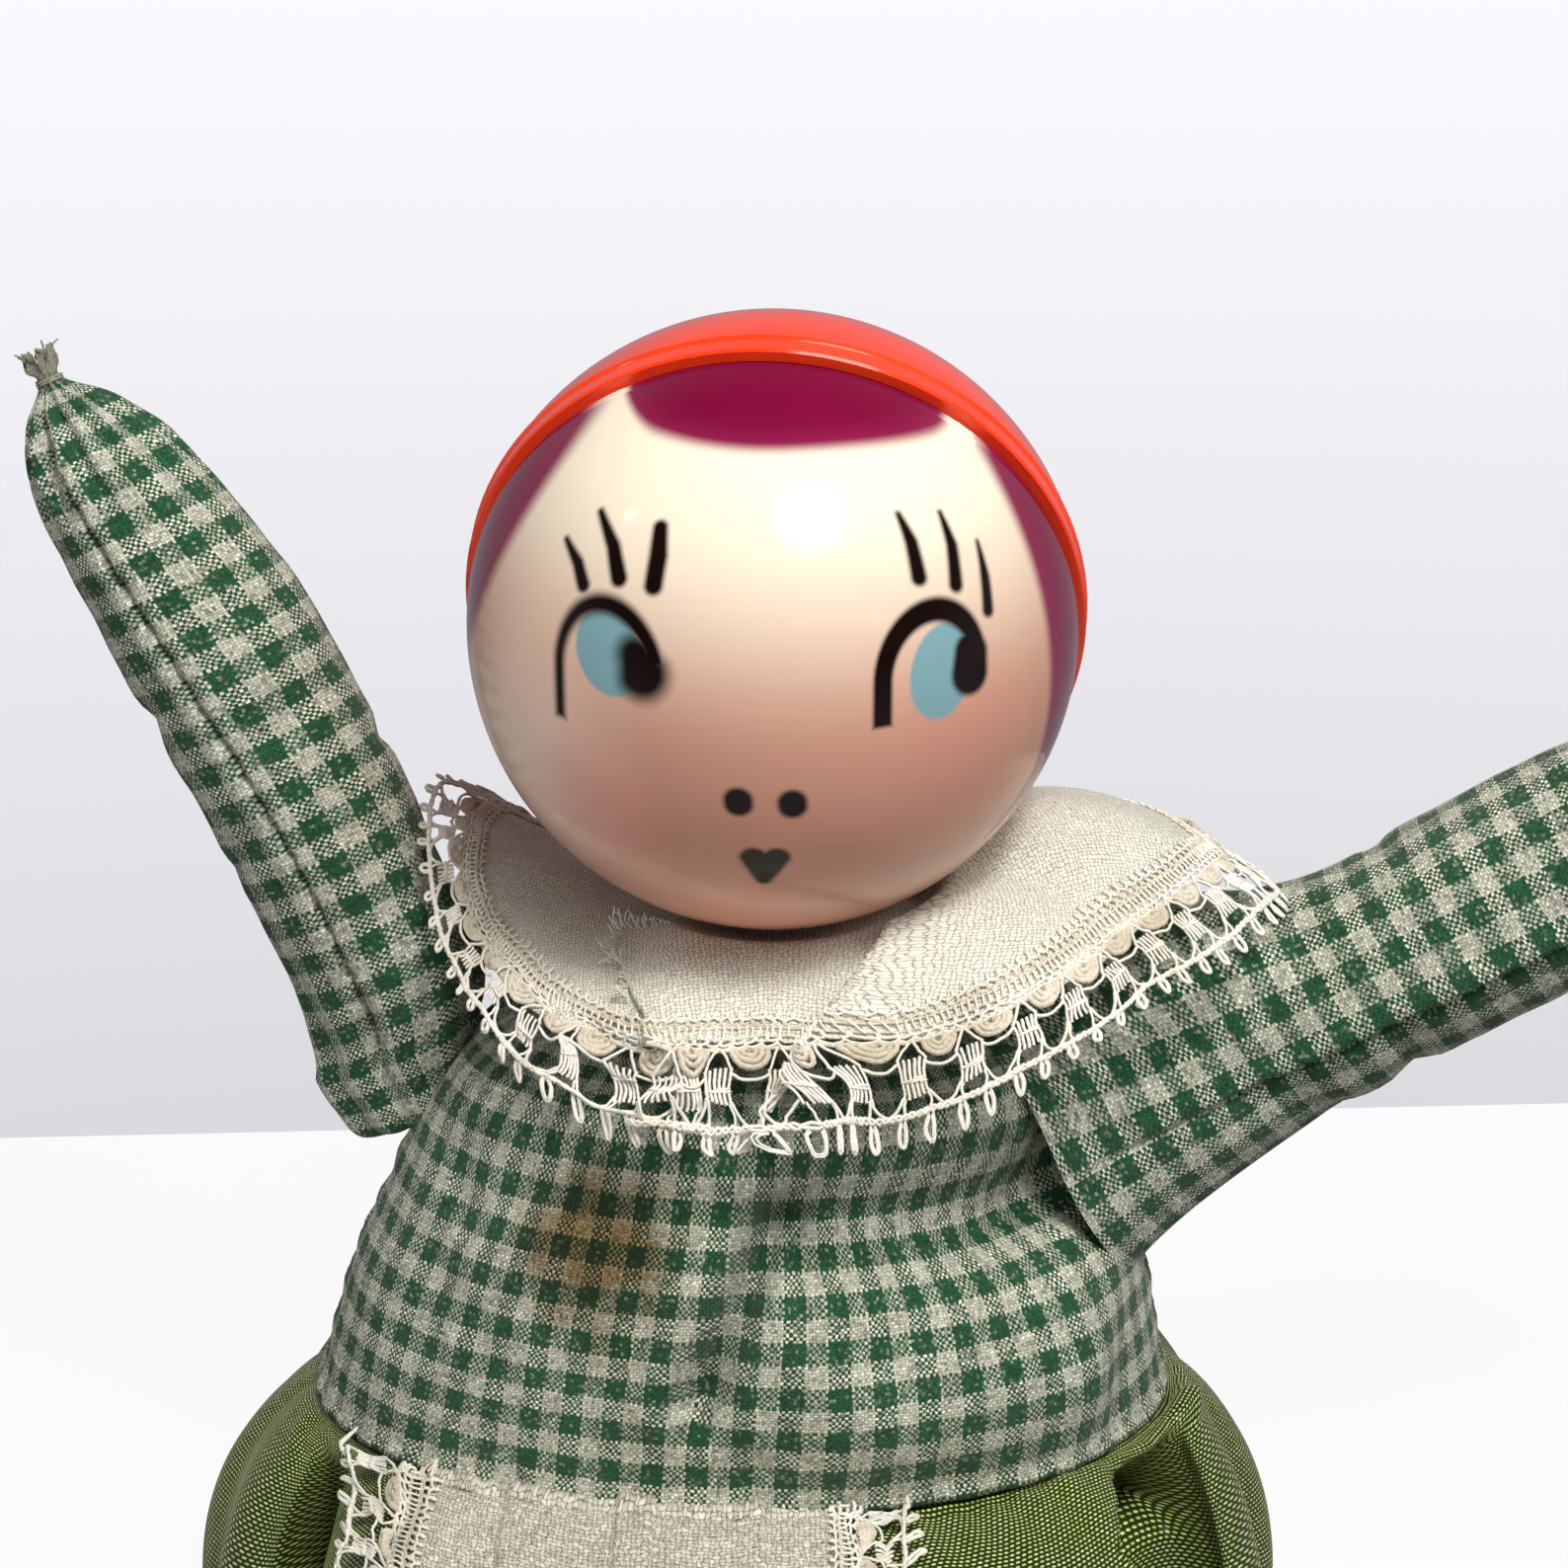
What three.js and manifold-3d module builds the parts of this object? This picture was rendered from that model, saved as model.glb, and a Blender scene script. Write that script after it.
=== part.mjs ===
// A seated rattle doll: a two-part plastic ball head with loose pellets inside, on a spool neck
// that nods and turns, over a stuffed cloth body with sewn arms and legs, a lace-edged cape collar,
// a gathered skirt and a lace-edged apron.
// Millimetres, +Z up. The doll faces -Y, and its left arm is on +X.
// The origin is on the flat seat, under the middle of the waist.
import * as THREE from "three";
import { mergeVertices } from "three/addons/utils/BufferGeometryUtils.js";
import Module from "manifold-3d";

const wasm = await Module();
wasm.setup();

// Driving dimensions: cloth and clearances
const CLOTH = 0.8; // sewn cloth, with its turned edges
const THIN_CLOTH = 0.7; // collar, skirt and apron
const LACE = 0.6;
const GAP = 0.4; // between two pieces that lie on each other
const STAND_OFF = 0.6; // between the bottom hem and the table

// Driving dimensions: head, a ball of two shells
const CAP_R = 35.6;
const SEAM_STEP = 0.8; // the cap stands this far proud of the face at the seam
const SHELL_WALL = 1.4;
const SPIGOT = 3; // length of the face's lip inside the cap
const SPIGOT_WALL = 0.9;
const RIM_BAND = 1.8; // plain band round the face at the seam
const RIM_STEP = 0.35;
const BEAD_FROM_EDGE = 3; // fine bead round the cap
const BEAD = 0.3;
const HEAD_TILT = THREE.MathUtils.degToRad(18); // the neck leans forward by this much
const FACE_TILT = THREE.MathUtils.degToRad(8); // the face looks further down than that by this much
const FACE_TURN = THREE.MathUtils.degToRad(-4.8); // the face is turned to the doll's right
const SHELL_SIDES = 30;
const SHELL_RINGS = 7;

// Driving dimensions: rattle pellets
const PELLET_R = 2.6;
const PELLET_ROWS = [
  { forward: 3.4, angles: [-6, 6] },
  { forward: 9.3, angles: [-12, 0, 12] },
]; // rows of pellets at rest, ahead of the head's centre, by degrees to each side

// Driving dimensions: neck spool, measured upwards from the nod pivot
const NECK_BALL_R = 7;
const NECK_STEM_R = 4.2;
const NECK_STEM_TOP = 8;
const SPOOL_FLANGE = 2;
const SPOOL_FLANGE_R = 8;
const SPOOL_WAIST_R = 6;
const SPOOL_INNER_R = 9;
const SPOOL_SIDES = 18;

// Driving dimensions: stuffed body, as stations from the seat to the neck
const WAIST_Z = 32;
const WAIST_HALF = 53;
const WAIST_FRONT = 34.5;
const WAIST_BACK = 39;
const SEAT_HALF = 46;
const SEAT_FRONT = 20;
const SEAT_BACK = 34;
const SEAT_EDGE = 4; // rounding under the seat
const LAP_Z = 25; // the body steps forward over the legs from here
const LAP_IN = 2; // the seat is this much narrower than the waist there
const BELLY_OUT = 1; // the body swells by this much between the waist and the chest
const CHEST_Z = 62;
const CHEST_HALF = 44.5;
const CHEST_DEPTH = 34;
const SHOULDER_Z = 78;
const SHOULDER_HALF = 37;
const SHOULDER_DEPTH = 28;
const NECK_Z = 94; // top of the cloth neck
const NECK_R = 8.2; // outside of the stuffing at the cloth neck
const NECK_STUB = 4; // the upright part of the cloth neck
const NECK_SPREAD = 1; // the neck is this much wider at its foot
const NECK_LEAN = 4; // the neck is this far to +X of the seat's middle
const PIVOT_BELOW_NECK = 4.3;
const TORSO_SIDES = 32;
const SEAT_RINGS = 5;
const BODICE_RINGS = 7;
const THREAD_R = 0.45;
const RING_SIDES = 5;

// Driving dimensions: arms and legs, from their pivots
const TIP = { neck: 1.6, tuft: 4.2, tuftR: 2.3 }; // the gathered end, and the tuft past its tie
const ARM_RIGHT = { length: 90, root: 6.5, swell: 12, bow: 4.2, bend: 2, ...TIP };
const ARM_LEFT = { length: 90, root: 10.5, swell: 13.4, bow: 0, bend: 0, ...TIP };
const LEG = { length: 86, root: 11, swell: 11.6, bow: 0, bend: 0, ...TIP };
const STUFFING_HOLE = 2.6;
const LIMB_SIDES = 14;
const LIMB_RINGS = 9;
const ARM_RIGHT_HEIGHT = 74; // of the sewn root
const ARM_LEFT_HEIGHT = 70;
const ARMS = [
  { name: "arm_right", limb: ARM_RIGHT, side: -1, height: ARM_RIGHT_HEIGHT, raise: 67, forward: 0 },
  { name: "arm_left", limb: ARM_LEFT, side: 1, height: ARM_LEFT_HEIGHT, raise: 33, forward: 10 },
]; // raised above level and forward by these degrees
const HIP_ANGLE = 66; // degrees round the seat, from the side to the front
const LEG_SPLAY = 7; // degrees outwards

// Driving dimensions: skirt and apron, by angle round the waist (0 is +X, 90 is the back)
const SKIRT_FLARE_CORNER = 8; // beside the legs, where the apron's edges hang
const SKIRT_FLARE_SIDE = 16;
const SKIRT_FLARE_BACK = 22;
const SKIRT_FLARE_FRONT = 41;
const SKIRT_FOLDS = 15;
const SKIRT_FOLD_DEPTH = 2.6;
const LAP_RIPPLE = 0.5; // height of the folds where the skirt lies on the legs
const SKIRT_SIDES = 60;
const SKIRT_RINGS = 5;
const LAP_HALF_ANGLE = 26; // the part of the skirt that lies on the legs
const LAP_BLEND_ANGLE = 32; // where it comes down beside them
const SIDE_ANGLE = 90;
const APRON_FROM = 226;
const APRON_TO = 284;
const APRON_STAND_OFF = 0.9; // from the skirt, over its folds
const APRON_LENGTH = 0.86; // share of the skirt's length
const APRON_LACE_RIGHT = 20; // widths of the side laces, in degrees
const APRON_LACE_LEFT = 10;
const APRON_LACE_HEM = 0.13; // share of the skirt's length

// Driving dimensions: collar, as points of its rings from the middle of the neck's top.
// Each ring runs from the front to the back, round the left arm and round the right arm.
const COLLAR_NECK_R = 11.6;
const COLLAR_NECK_RISE = 0.2;
const COLLAR_CLOTH_SHARE = 0.7; // the rest of the width is lace
const COLLAR_LACE_GAP = 0.01; // share of the width
const COLLAR_LEFT = {
  middle: [[0, -25, 2], [14, -27, 2.5], [28, -22, 6], [34, -11, 11.5], [35, 0, 14.5], [32, 12, 12.5], [24, 21, 6],
    [13, 24, 1], [0, 25, 0]],
  edge: [[0, -39, -16], [18, -41, -14], [37, -38, -6], [54, -28, 0.5], [66, -8, 6.8], [61, 12, 4], [41, 27, -3],
    [18, 33, -10], [0, 34, -13]],
};
const COLLAR_RIGHT = {
  middle: [[0, -25, 2], [-13, -25, 1], [-22, -20, 2], [-28, -12, 5], [-30, -2, 8], [-30, 8, 8], [-25, 17, 4],
    [-13, 23, 1], [0, 25, 0]],
  edge: [[0, -39, -16], [-17, -38, -15], [-31, -31, -10], [-39, -20, -2], [-43, -6, 10], [-43, 6, 16],
    [-37, 19, 10], [-20, 31, -4], [0, 34, -13]],
};
const COLLAR_STEPS = 16;
const COLLAR_WIDTH_STEPS = 5;
const COLLAR_FRONT_GAP = 0.012; // share of each half left open at the front and the back
const COLLAR_LACE_HOLES = 14;
const APRON_LACE_HOLES = 6;
const APRON_HEM_HOLES = 12;

// Materials
const plastic = (color, roughness) => new THREE.MeshStandardMaterial({ color, roughness, metalness: 0 });
const cloth = (color, roughness = 0.9) => new THREE.MeshStandardMaterial({ color, roughness, metalness: 0 });
const CREAM_PLASTIC = plastic(0xefe0c8, 0.22);
const ORANGE_PLASTIC = plastic(0xff3e1c, 0.2);
const WHITE_PLASTIC = plastic(0xe9e2d2, 0.4);
const BEAD_PLASTIC = plastic(0xd9c9a0, 0.5);
const GINGHAM = cloth(0x8fab92);
const WADDING = cloth(0xe8e3d6, 1);
const COTTON = cloth(0xece6d8);
const LACE_COTTON = cloth(0xf1ede3);
const TAFFETA = cloth(0x76913f, 0.45);
const THREAD = cloth(0x8c8f80);

const degrees = THREE.MathUtils.degToRad;
const smooth = (x) => THREE.MathUtils.smoothstep(x, 0, 1);

// Closed geometry helpers

// Six times the volume that a closed surface holds, negative if its faces point inwards.
function signedVolume(geometry) {
  const p = geometry.attributes.position;
  const corner = (i) => new THREE.Vector3().fromBufferAttribute(p, geometry.index.getX(i));
  let sum = 0;
  for (let i = 0; i < geometry.index.count; i += 3) sum += corner(i).dot(corner(i + 1).cross(corner(i + 2)));
  return sum;
}

// Joins shared vertices and turns the faces outwards.
function closed(geometry) {
  geometry.deleteAttribute("normal");
  geometry.deleteAttribute("uv");
  const joined = mergeVertices(geometry, 1e-4);
  const index = [];
  const flip = signedVolume(joined) < 0;
  for (let i = 0; i < joined.index.count; i += 3) {
    const [a, b, c] = [0, 1, 2].map((k) => joined.index.getX(i + k));
    if (a !== b && b !== c && a !== c) index.push(...(flip ? [a, c, b] : [a, b, c]));
  }
  return joined.setIndex(index);
}

// A solid of revolution about Z, from [radius, height] points.
function turned(points, sides) {
  const outline = points.map(([r, z]) => new THREE.Vector2(Math.max(r, 0), z));
  return closed(new THREE.LatheGeometry(outline, sides).rotateX(Math.PI / 2));
}

// A solid from rings of points, with a flat cap on the first and the last ring.
function lofted(rings) {
  const n = rings[0].length;
  const points = rings.flat();
  const index = [];
  const at = (i, j) => i * n + (j % n);
  for (let i = 0; i + 1 < rings.length; i++) {
    for (let j = 0; j < n; j++) {
      index.push(at(i, j), at(i, j + 1), at(i + 1, j + 1), at(i, j), at(i + 1, j + 1), at(i + 1, j));
    }
  }
  const cap = (ring, first) => {
    const middle = rings[ring].reduce((s, p) => s.add(p), new THREE.Vector3()).divideScalar(n);
    const centre = points.push(middle) - 1;
    for (let j = 0; j < n; j++) {
      const edge = [at(ring, j), at(ring, j + 1)];
      index.push(centre, ...(first ? edge.reverse() : edge));
    }
  };
  cap(0, true);
  cap(rings.length - 1, false);
  return closed(new THREE.BufferGeometry().setFromPoints(points).setIndex(index));
}

// A sheet between two surfaces of (u, v), as a closed solid. Cells where isOpen is true are holes.
function sheet(under, over, nu, nv, { wrap = false, isOpen = () => false } = {}) {
  const points = [];
  const columns = wrap ? nu : nu + 1;
  for (const side of [under, over]) {
    for (let i = 0; i < columns; i++) for (let j = 0; j <= nv; j++) points.push(side(i / nu, j / nv));
  }
  const at = (side, i, j) => side * columns * (nv + 1) + (i % columns) * (nv + 1) + j;
  const solid = (i, j) => j >= 0 && j < nv && (wrap || (i >= 0 && i < nu)) && !isOpen((i + nu) % nu, j);
  const index = [];
  const quad = (a, b, c, d) => index.push(a, b, c, a, c, d);
  for (let i = 0; i < nu; i++) {
    for (let j = 0; j < nv; j++) {
      if (!solid(i, j)) continue;
      quad(at(1, i, j), at(1, i + 1, j), at(1, i + 1, j + 1), at(1, i, j + 1));
      quad(at(0, i, j), at(0, i, j + 1), at(0, i + 1, j + 1), at(0, i + 1, j));
      if (!solid(i - 1, j)) quad(at(0, i, j), at(1, i, j), at(1, i, j + 1), at(0, i, j + 1));
      if (!solid(i + 1, j)) quad(at(0, i + 1, j), at(0, i + 1, j + 1), at(1, i + 1, j + 1), at(1, i + 1, j));
      if (!solid(i, j - 1)) quad(at(0, i, j), at(0, i + 1, j), at(1, i + 1, j), at(1, i, j));
      if (!solid(i, j + 1)) quad(at(0, i, j + 1), at(1, i, j + 1), at(1, i + 1, j + 1), at(0, i + 1, j + 1));
    }
  }
  return closed(new THREE.BufferGeometry().setFromPoints(points).setIndex(index));
}

// A surface moved along its own normal, on the side that points away from inside.
function offset(surface, distance, inside) {
  const step = 1e-3;
  return (u, v) => {
    const [u0, u1] = [Math.max(u - step, 0), Math.min(u + step, 1)];
    const [v0, v1] = [Math.max(v - step, 0), Math.min(v + step, 1)];
    const across = surface(u1, v).sub(surface(u0, v));
    const along = surface(u, v1).sub(surface(u, v0));
    const normal = across.cross(along).normalize();
    const point = surface(u, v);
    if (normal.dot(point.clone().sub(inside(point))) < 0) normal.negate();
    return point.addScaledVector(normal, distance);
  };
}

const asManifold = (geometry) =>
  new wasm.Manifold(
    new wasm.Mesh({
      numProp: 3,
      vertProperties: new Float32Array(geometry.attributes.position.array),
      triVerts: new Uint32Array(geometry.index.array),
    }),
  );

// The first geometry with the second cut out of it.
function cut(geometry, tool) {
  const { numProp, vertProperties, triVerts } = asManifold(geometry).subtract(asManifold(tool)).getMesh();
  const xyz = Array.from(vertProperties).filter((_, i) => i % numProp < 3);
  return new THREE.BufferGeometry()
    .setAttribute("position", new THREE.Float32BufferAttribute(xyz, 3))
    .setIndex(Array.from(triVerts));
}

const doll = new THREE.Group();
function add(name, geometry, material, parent = doll) {
  const mesh = new THREE.Mesh(geometry, material);
  mesh.name = name;
  parent.add(mesh);
}

// Stuffed body

// Stations of the stuffing: height, half width, depth to the front and to the back.
const STATIONS = [
  [0, SEAT_HALF - SEAT_EDGE, SEAT_FRONT - SEAT_EDGE, SEAT_BACK - SEAT_EDGE],
  [SEAT_EDGE, SEAT_HALF, SEAT_FRONT, SEAT_BACK],
  [LAP_Z, WAIST_HALF - LAP_IN, SEAT_FRONT, WAIST_BACK - LAP_IN],
  [(LAP_Z + WAIST_Z) / 2, WAIST_HALF - LAP_IN / 4, (SEAT_FRONT + 3 * WAIST_FRONT) / 4, WAIST_BACK - LAP_IN / 4],
  [WAIST_Z, WAIST_HALF, WAIST_FRONT, WAIST_BACK],
  [(WAIST_Z + CHEST_Z) / 2, (WAIST_HALF + CHEST_HALF) / 2 + BELLY_OUT,
    (WAIST_FRONT + CHEST_DEPTH) / 2 + BELLY_OUT, (WAIST_BACK + CHEST_DEPTH) / 2 + BELLY_OUT],
  [CHEST_Z, CHEST_HALF, CHEST_DEPTH, CHEST_DEPTH],
  [SHOULDER_Z, SHOULDER_HALF, SHOULDER_DEPTH, SHOULDER_DEPTH],
  [SHOULDER_Z + (NECK_Z - NECK_STUB - SHOULDER_Z) * 0.7, (SHOULDER_HALF + NECK_R) / 2,
    (SHOULDER_DEPTH + NECK_R) / 2, (SHOULDER_DEPTH + NECK_R) / 2],
  [NECK_Z - NECK_STUB, NECK_R + NECK_SPREAD, NECK_R + NECK_SPREAD, NECK_R + NECK_SPREAD],
  [NECK_Z, NECK_R, NECK_R, NECK_R],
];
const bodyProfile = new THREE.CatmullRomCurve3(
  STATIONS.map(([z, half]) => new THREE.Vector3(half, 0, z)), false, "centripetal");
const bodyDepths = new THREE.CatmullRomCurve3(
  STATIONS.map(([, , front, back]) => new THREE.Vector3(front, back, 0)), false, "centripetal");

const lean = (z) => NECK_LEAN * smooth((z - WAIST_Z) / (NECK_Z - WAIST_Z));

// A point of the body's surface at a share t of its profile and an angle round it, moved out by a distance.
function bodyPoint(t, angle, out = 0) {
  const station = bodyProfile.getPoint(t);
  const tangent = bodyProfile.getTangent(t);
  const outwards = new THREE.Vector2(tangent.z, -tangent.x).normalize();
  const depths = bodyDepths.getPoint(t);
  const depth = Math.sin(angle) < 0 ? depths.x : depths.y;
  return new THREE.Vector3(
    lean(station.z) + (station.x + outwards.x * out) * Math.cos(angle),
    (depth + outwards.x * out) * Math.sin(angle),
    station.z + outwards.y * out,
  );
}

// The share of the profile at a height.
function bodyShare(z) {
  let [low, high] = [0, 1];
  for (let i = 0; i < 40; i++) {
    const middle = (low + high) / 2;
    if (bodyProfile.getPoint(middle).z < z) low = middle;
    else high = middle;
  }
  return low;
}

const spread = (from, to, steps) =>
  Array.from({ length: steps + 1 }, (_, i) => from + ((to - from) * i) / steps);
const arc = (r, from, to, steps) => spread(from, to, steps).map((a) => [r * Math.cos(a), r * Math.sin(a)]);
const ringOf = (sides, point) => Array.from({ length: sides }, (_, j) => point((j / sides) * 2 * Math.PI));
const roundRing = (x, z, r) =>
  ringOf(TORSO_SIDES, (a) => new THREE.Vector3(x + r * Math.cos(a), r * Math.sin(a), z));

const PIVOT = new THREE.Vector3(NECK_LEAN, 0, NECK_Z - PIVOT_BELOW_NECK);
const waistShare = bodyShare(WAIST_Z);
const seatShares = spread(0, waistShare, SEAT_RINGS); // the cloth and the stuffing share these rings
const bodiceShares = spread(bodyShare(WAIST_Z + GAP), 1, BODICE_RINGS);
const SKIN = CLOTH + GAP; // from the stuffing to the outside of the cloth
const CUP_R = NECK_BALL_R + 2 * GAP; // the hollow that holds the neck's ball
const cupRings = (from, to, steps) =>
  spread(from, to, steps).map((a) => roundRing(PIVOT.x, PIVOT.z + CUP_R * Math.sin(a), CUP_R * Math.cos(a)));

{
  const shares = [...seatShares, ...bodiceShares];
  const sides = shares.map((t) => ringOf(TORSO_SIDES, (a) => bodyPoint(t, a)));
  sides[0].forEach((p) => p.setZ(SKIN));
  const mouth = Math.asin(PIVOT_BELOW_NECK / CUP_R);
  const floor = -degrees(75); // the hollow's flat floor starts here
  add("torso_stuffing", lofted([...sides, ...cupRings(mouth, floor, 4)]), WADDING);
}

{
  const outer = seatShares.map((t) => ringOf(TORSO_SIDES, (a) => bodyPoint(t, a, SKIN)));
  outer[0].forEach((p) => p.setZ(0));
  const inner = seatShares.map((t) => ringOf(TORSO_SIDES, (a) => bodyPoint(t, a, GAP)));
  inner[0].forEach((p) => p.setZ(CLOTH));
  add("seat_bag", lofted([...outer, ...inner.reverse()]), GINGHAM);
}

// The bodice is a front and a back panel, sewn at the sides.
const SIDE_SEAM = degrees(0.6);
for (const [name, from] of [["bodice_front", -Math.PI], ["bodice_back", 0]]) {
  const bottom = bodiceShares[0];
  const at = (out) => (u, v) =>
    bodyPoint(bottom + (1 - bottom) * v, from + SIDE_SEAM + (Math.PI - 2 * SIDE_SEAM) * u, out);
  add(name, sheet(at(GAP), at(SKIN), TORSO_SIDES / 2, BODICE_RINGS), GINGHAM);
}

// A ring of thread about Z.
const threadRing = (r, z, sides) =>
  turned(spread(0, 1, RING_SIDES).map((s) => [
    r + THREAD_R * Math.cos(s * 2 * Math.PI),
    z + THREAD_R * Math.sin(s * 2 * Math.PI),
  ]), sides);

{
  const tie = NECK_Z - NECK_STUB / 3;
  const reach = bodyPoint(bodyShare(tie), 0, SKIN).x - lean(tie);
  const ring = threadRing(reach + 2 * GAP + THREAD_R, tie, SPOOL_SIDES).translate(NECK_LEAN, 0, 0);
  add("neck_thread", ring, THREAD);
}

// Neck spool: a ball in the cloth neck, a flange under the head and one inside it
const HEAD_FROM_PIVOT = NECK_STEM_TOP + SPOOL_FLANGE + GAP + CAP_R;
const FACE_R = CAP_R - SEAM_STEP;
const FACE_INNER_R = FACE_R - SHELL_WALL;
const SPIGOT_R = CAP_R - SHELL_WALL - GAP;
const FACET = Math.cos(Math.PI / SHELL_SIDES); // a shell's least radius is this share of its greatest
const CHAMBER_R = Math.min(SPIGOT_R - SPIGOT_WALL, FACE_INNER_R) * FACET;
const neckGroup = new THREE.Group();
neckGroup.position.copy(PIVOT);
neckGroup.rotation.x = HEAD_TILT;
doll.add(neckGroup);
{
  const ballTop = Math.acos(NECK_STEM_R / NECK_BALL_R);
  const ball = arc(NECK_BALL_R, -Math.PI / 2, ballTop, 8);
  const under = NECK_STEM_TOP + SPOOL_FLANGE;
  const inside = HEAD_FROM_PIVOT - Math.sqrt(CHAMBER_R ** 2 - SPOOL_INNER_R ** 2) + GAP;
  add("neck_spool", turned([
    ...ball,
    [NECK_STEM_R, NECK_STEM_TOP],
    [SPOOL_FLANGE_R, NECK_STEM_TOP],
    [SPOOL_FLANGE_R, under],
    [SPOOL_WAIST_R, under],
    [SPOOL_WAIST_R, inside],
    [SPOOL_INNER_R, inside],
    [SPOOL_INNER_R, inside + SPOOL_FLANGE],
    [0, inside + SPOOL_FLANGE],
  ], SPOOL_SIDES), WHITE_PLASTIC, neckGroup);
}

// Head: its own frame has the middle of the ball at the origin, the face on -Y and the neck on -Z
const head = new THREE.Group();
head.position.set(0, 0, HEAD_FROM_PIVOT);
neckGroup.add(head);
const neckHole = turned([
  [0, -CAP_R * 1.2],
  [SPOOL_WAIST_R + GAP, -CAP_R * 1.2],
  [SPOOL_WAIST_R + GAP, -CAP_R * 0.6],
  [0, -CAP_R * 0.6],
], SPOOL_SIDES);
{
  const band = Math.asin(RIM_BAND / FACE_R);
  const bandR = FACE_R - RIM_STEP;
  const outline = [
    ...arc(FACE_R, Math.PI / 2, band, SHELL_RINGS),
    ...arc(bandR, band, 0, 2),
    [SPIGOT_R, 0],
    [SPIGOT_R, -SPIGOT],
    [SPIGOT_R - SPIGOT_WALL, -SPIGOT],
    [SPIGOT_R - SPIGOT_WALL, 0],
    ...arc(FACE_INNER_R, degrees(4), Math.PI / 2, SHELL_RINGS),
  ];
  const shell = turned(outline, SHELL_SIDES).rotateX(Math.PI / 2 + FACE_TILT).rotateZ(FACE_TURN);
  add("face_shell", cut(shell, neckHole), CREAM_PLASTIC, head);
}
{
  const edge = Math.asin(GAP / CAP_R);
  const bead = Math.asin(BEAD_FROM_EDGE / CAP_R);
  const inner = CAP_R - SHELL_WALL;
  const outline = [
    ...arc(CAP_R, edge, bead, 2),
    ...arc(CAP_R + BEAD, bead + degrees(0.6), bead + degrees(1.6), 1),
    ...arc(CAP_R, bead + degrees(2.2), Math.PI / 2, SHELL_RINGS),
    ...arc(inner, Math.PI / 2, Math.asin(GAP / inner), SHELL_RINGS),
    [CAP_R * Math.cos(edge), CAP_R * Math.sin(edge)],
  ];
  const shell = turned(outline, SHELL_SIDES).rotateX(-Math.PI / 2 + FACE_TILT).rotateZ(FACE_TURN);
  add("cap_shell", cut(shell, neckHole), ORANGE_PLASTIC, head);
}

// Pellets lie at the bottom of the ball, so their group is turned upright again
const chamber = new THREE.Group();
chamber.rotation.x = -HEAD_TILT;
head.add(chamber);
{
  const reach = CHAMBER_R - PELLET_R - GAP;
  let count = 0;
  for (const { forward, angles } of PELLET_ROWS) {
    const down = Math.sqrt(reach ** 2 - forward ** 2);
    for (const angle of angles.map(degrees)) {
      const ball = closed(new THREE.SphereGeometry(PELLET_R, 8, 6));
      ball.translate(down * Math.sin(angle), -forward, -down * Math.cos(angle));
      add(`rattle_pellet_${++count}`, ball, BEAD_PLASTIC, chamber);
    }
  }
}

// Stuffed limbs: each is a cloth tube gathered at the tip and tied, with stuffing inside

// Outline of a limb about its own Z axis from the pivot, drawn in by a distance.
function limbOutline(limb, drawnIn) {
  const upper = limb.root + (limb.swell - limb.root) * 0.7;
  const stations = [
    [limb.root, 0],
    [upper, limb.length * 0.14],
    [limb.swell * 0.98, limb.length * 0.32],
    [limb.swell, limb.length * 0.48],
    [limb.swell * 0.96, limb.length * 0.66],
    [limb.swell * 0.72, limb.length * 0.87],
    [limb.neck + 0.6, limb.length * 0.985],
  ];
  const curve = new THREE.SplineCurve(stations.map(([r, z]) => new THREE.Vector2(r - drawnIn, z)));
  return curve.getPoints(LIMB_RINGS).map((p) => [p.x, p.y]);
}

const rootArc = (r, hole, steps) => arc(r, -Math.acos(hole / r), -degrees(12), steps);

// Bows the middle of a limb inwards and bends its tip outwards.
function bent(geometry, limb, side) {
  const p = geometry.attributes.position;
  for (let i = 0; i < p.count; i++) {
    const along = Math.max(p.getZ(i), 0) / limb.length;
    const inwards = limb.bow * Math.sin(Math.PI * Math.min(along, 1) ** 0.7);
    p.setX(i, p.getX(i) + side * (limb.bend * along ** 2 - inwards));
  }
  return geometry;
}

function addLimb(name, limb, side, skinName, parent) {
  const outer = limbOutline(limb, 0);
  const inner = limbOutline(limb, CLOTH).filter(([r]) => r > GAP);
  const core = limbOutline(limb, SKIN).filter(([r]) => r > GAP);
  const end = limb.length;
  const tip = [[limb.neck, end], [limb.tuftR, end + limb.tuft], [0, end + limb.tuft - 1]];
  const skin = [
    ...rootArc(limb.root, STUFFING_HOLE, 2), ...outer, ...tip,
    [0, inner.at(-1)[1] + GAP], ...inner.reverse(), ...rootArc(limb.root - CLOTH, STUFFING_HOLE, 2).reverse(),
    rootArc(limb.root, STUFFING_HOLE, 2)[0],
  ];
  const stuffing = [...rootArc(limb.root - SKIN, 0, 2), ...core, [0, core.at(-1)[1] + GAP / 2]];
  const tie = threadRing(limb.neck + GAP + THREAD_R, end + THREAD_R, 10);
  add(`${name}_${skinName}`, bent(turned(skin, LIMB_SIDES), limb, side), GINGHAM, parent);
  add(`${name}_stuffing`, bent(turned(stuffing, LIMB_SIDES), limb, side), WADDING, parent);
  add(`${name}_tie`, bent(tie, limb, side), THREAD, parent);
}

// The arms are sewn to the sides of the bodice.
for (const { name, limb, side, height, raise, forward } of ARMS) {
  const shoulder = new THREE.Group();
  shoulder.position.copy(bodyPoint(bodyShare(height), side > 0 ? 0 : Math.PI, SKIN + GAP + limb.root));
  shoulder.rotation.z = -side * degrees(forward);
  const arm = new THREE.Group();
  arm.rotation.y = side * degrees(90 - raise);
  shoulder.add(arm);
  doll.add(shoulder);
  addLimb(name, limb, side, "sleeve", arm);
}

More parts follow.
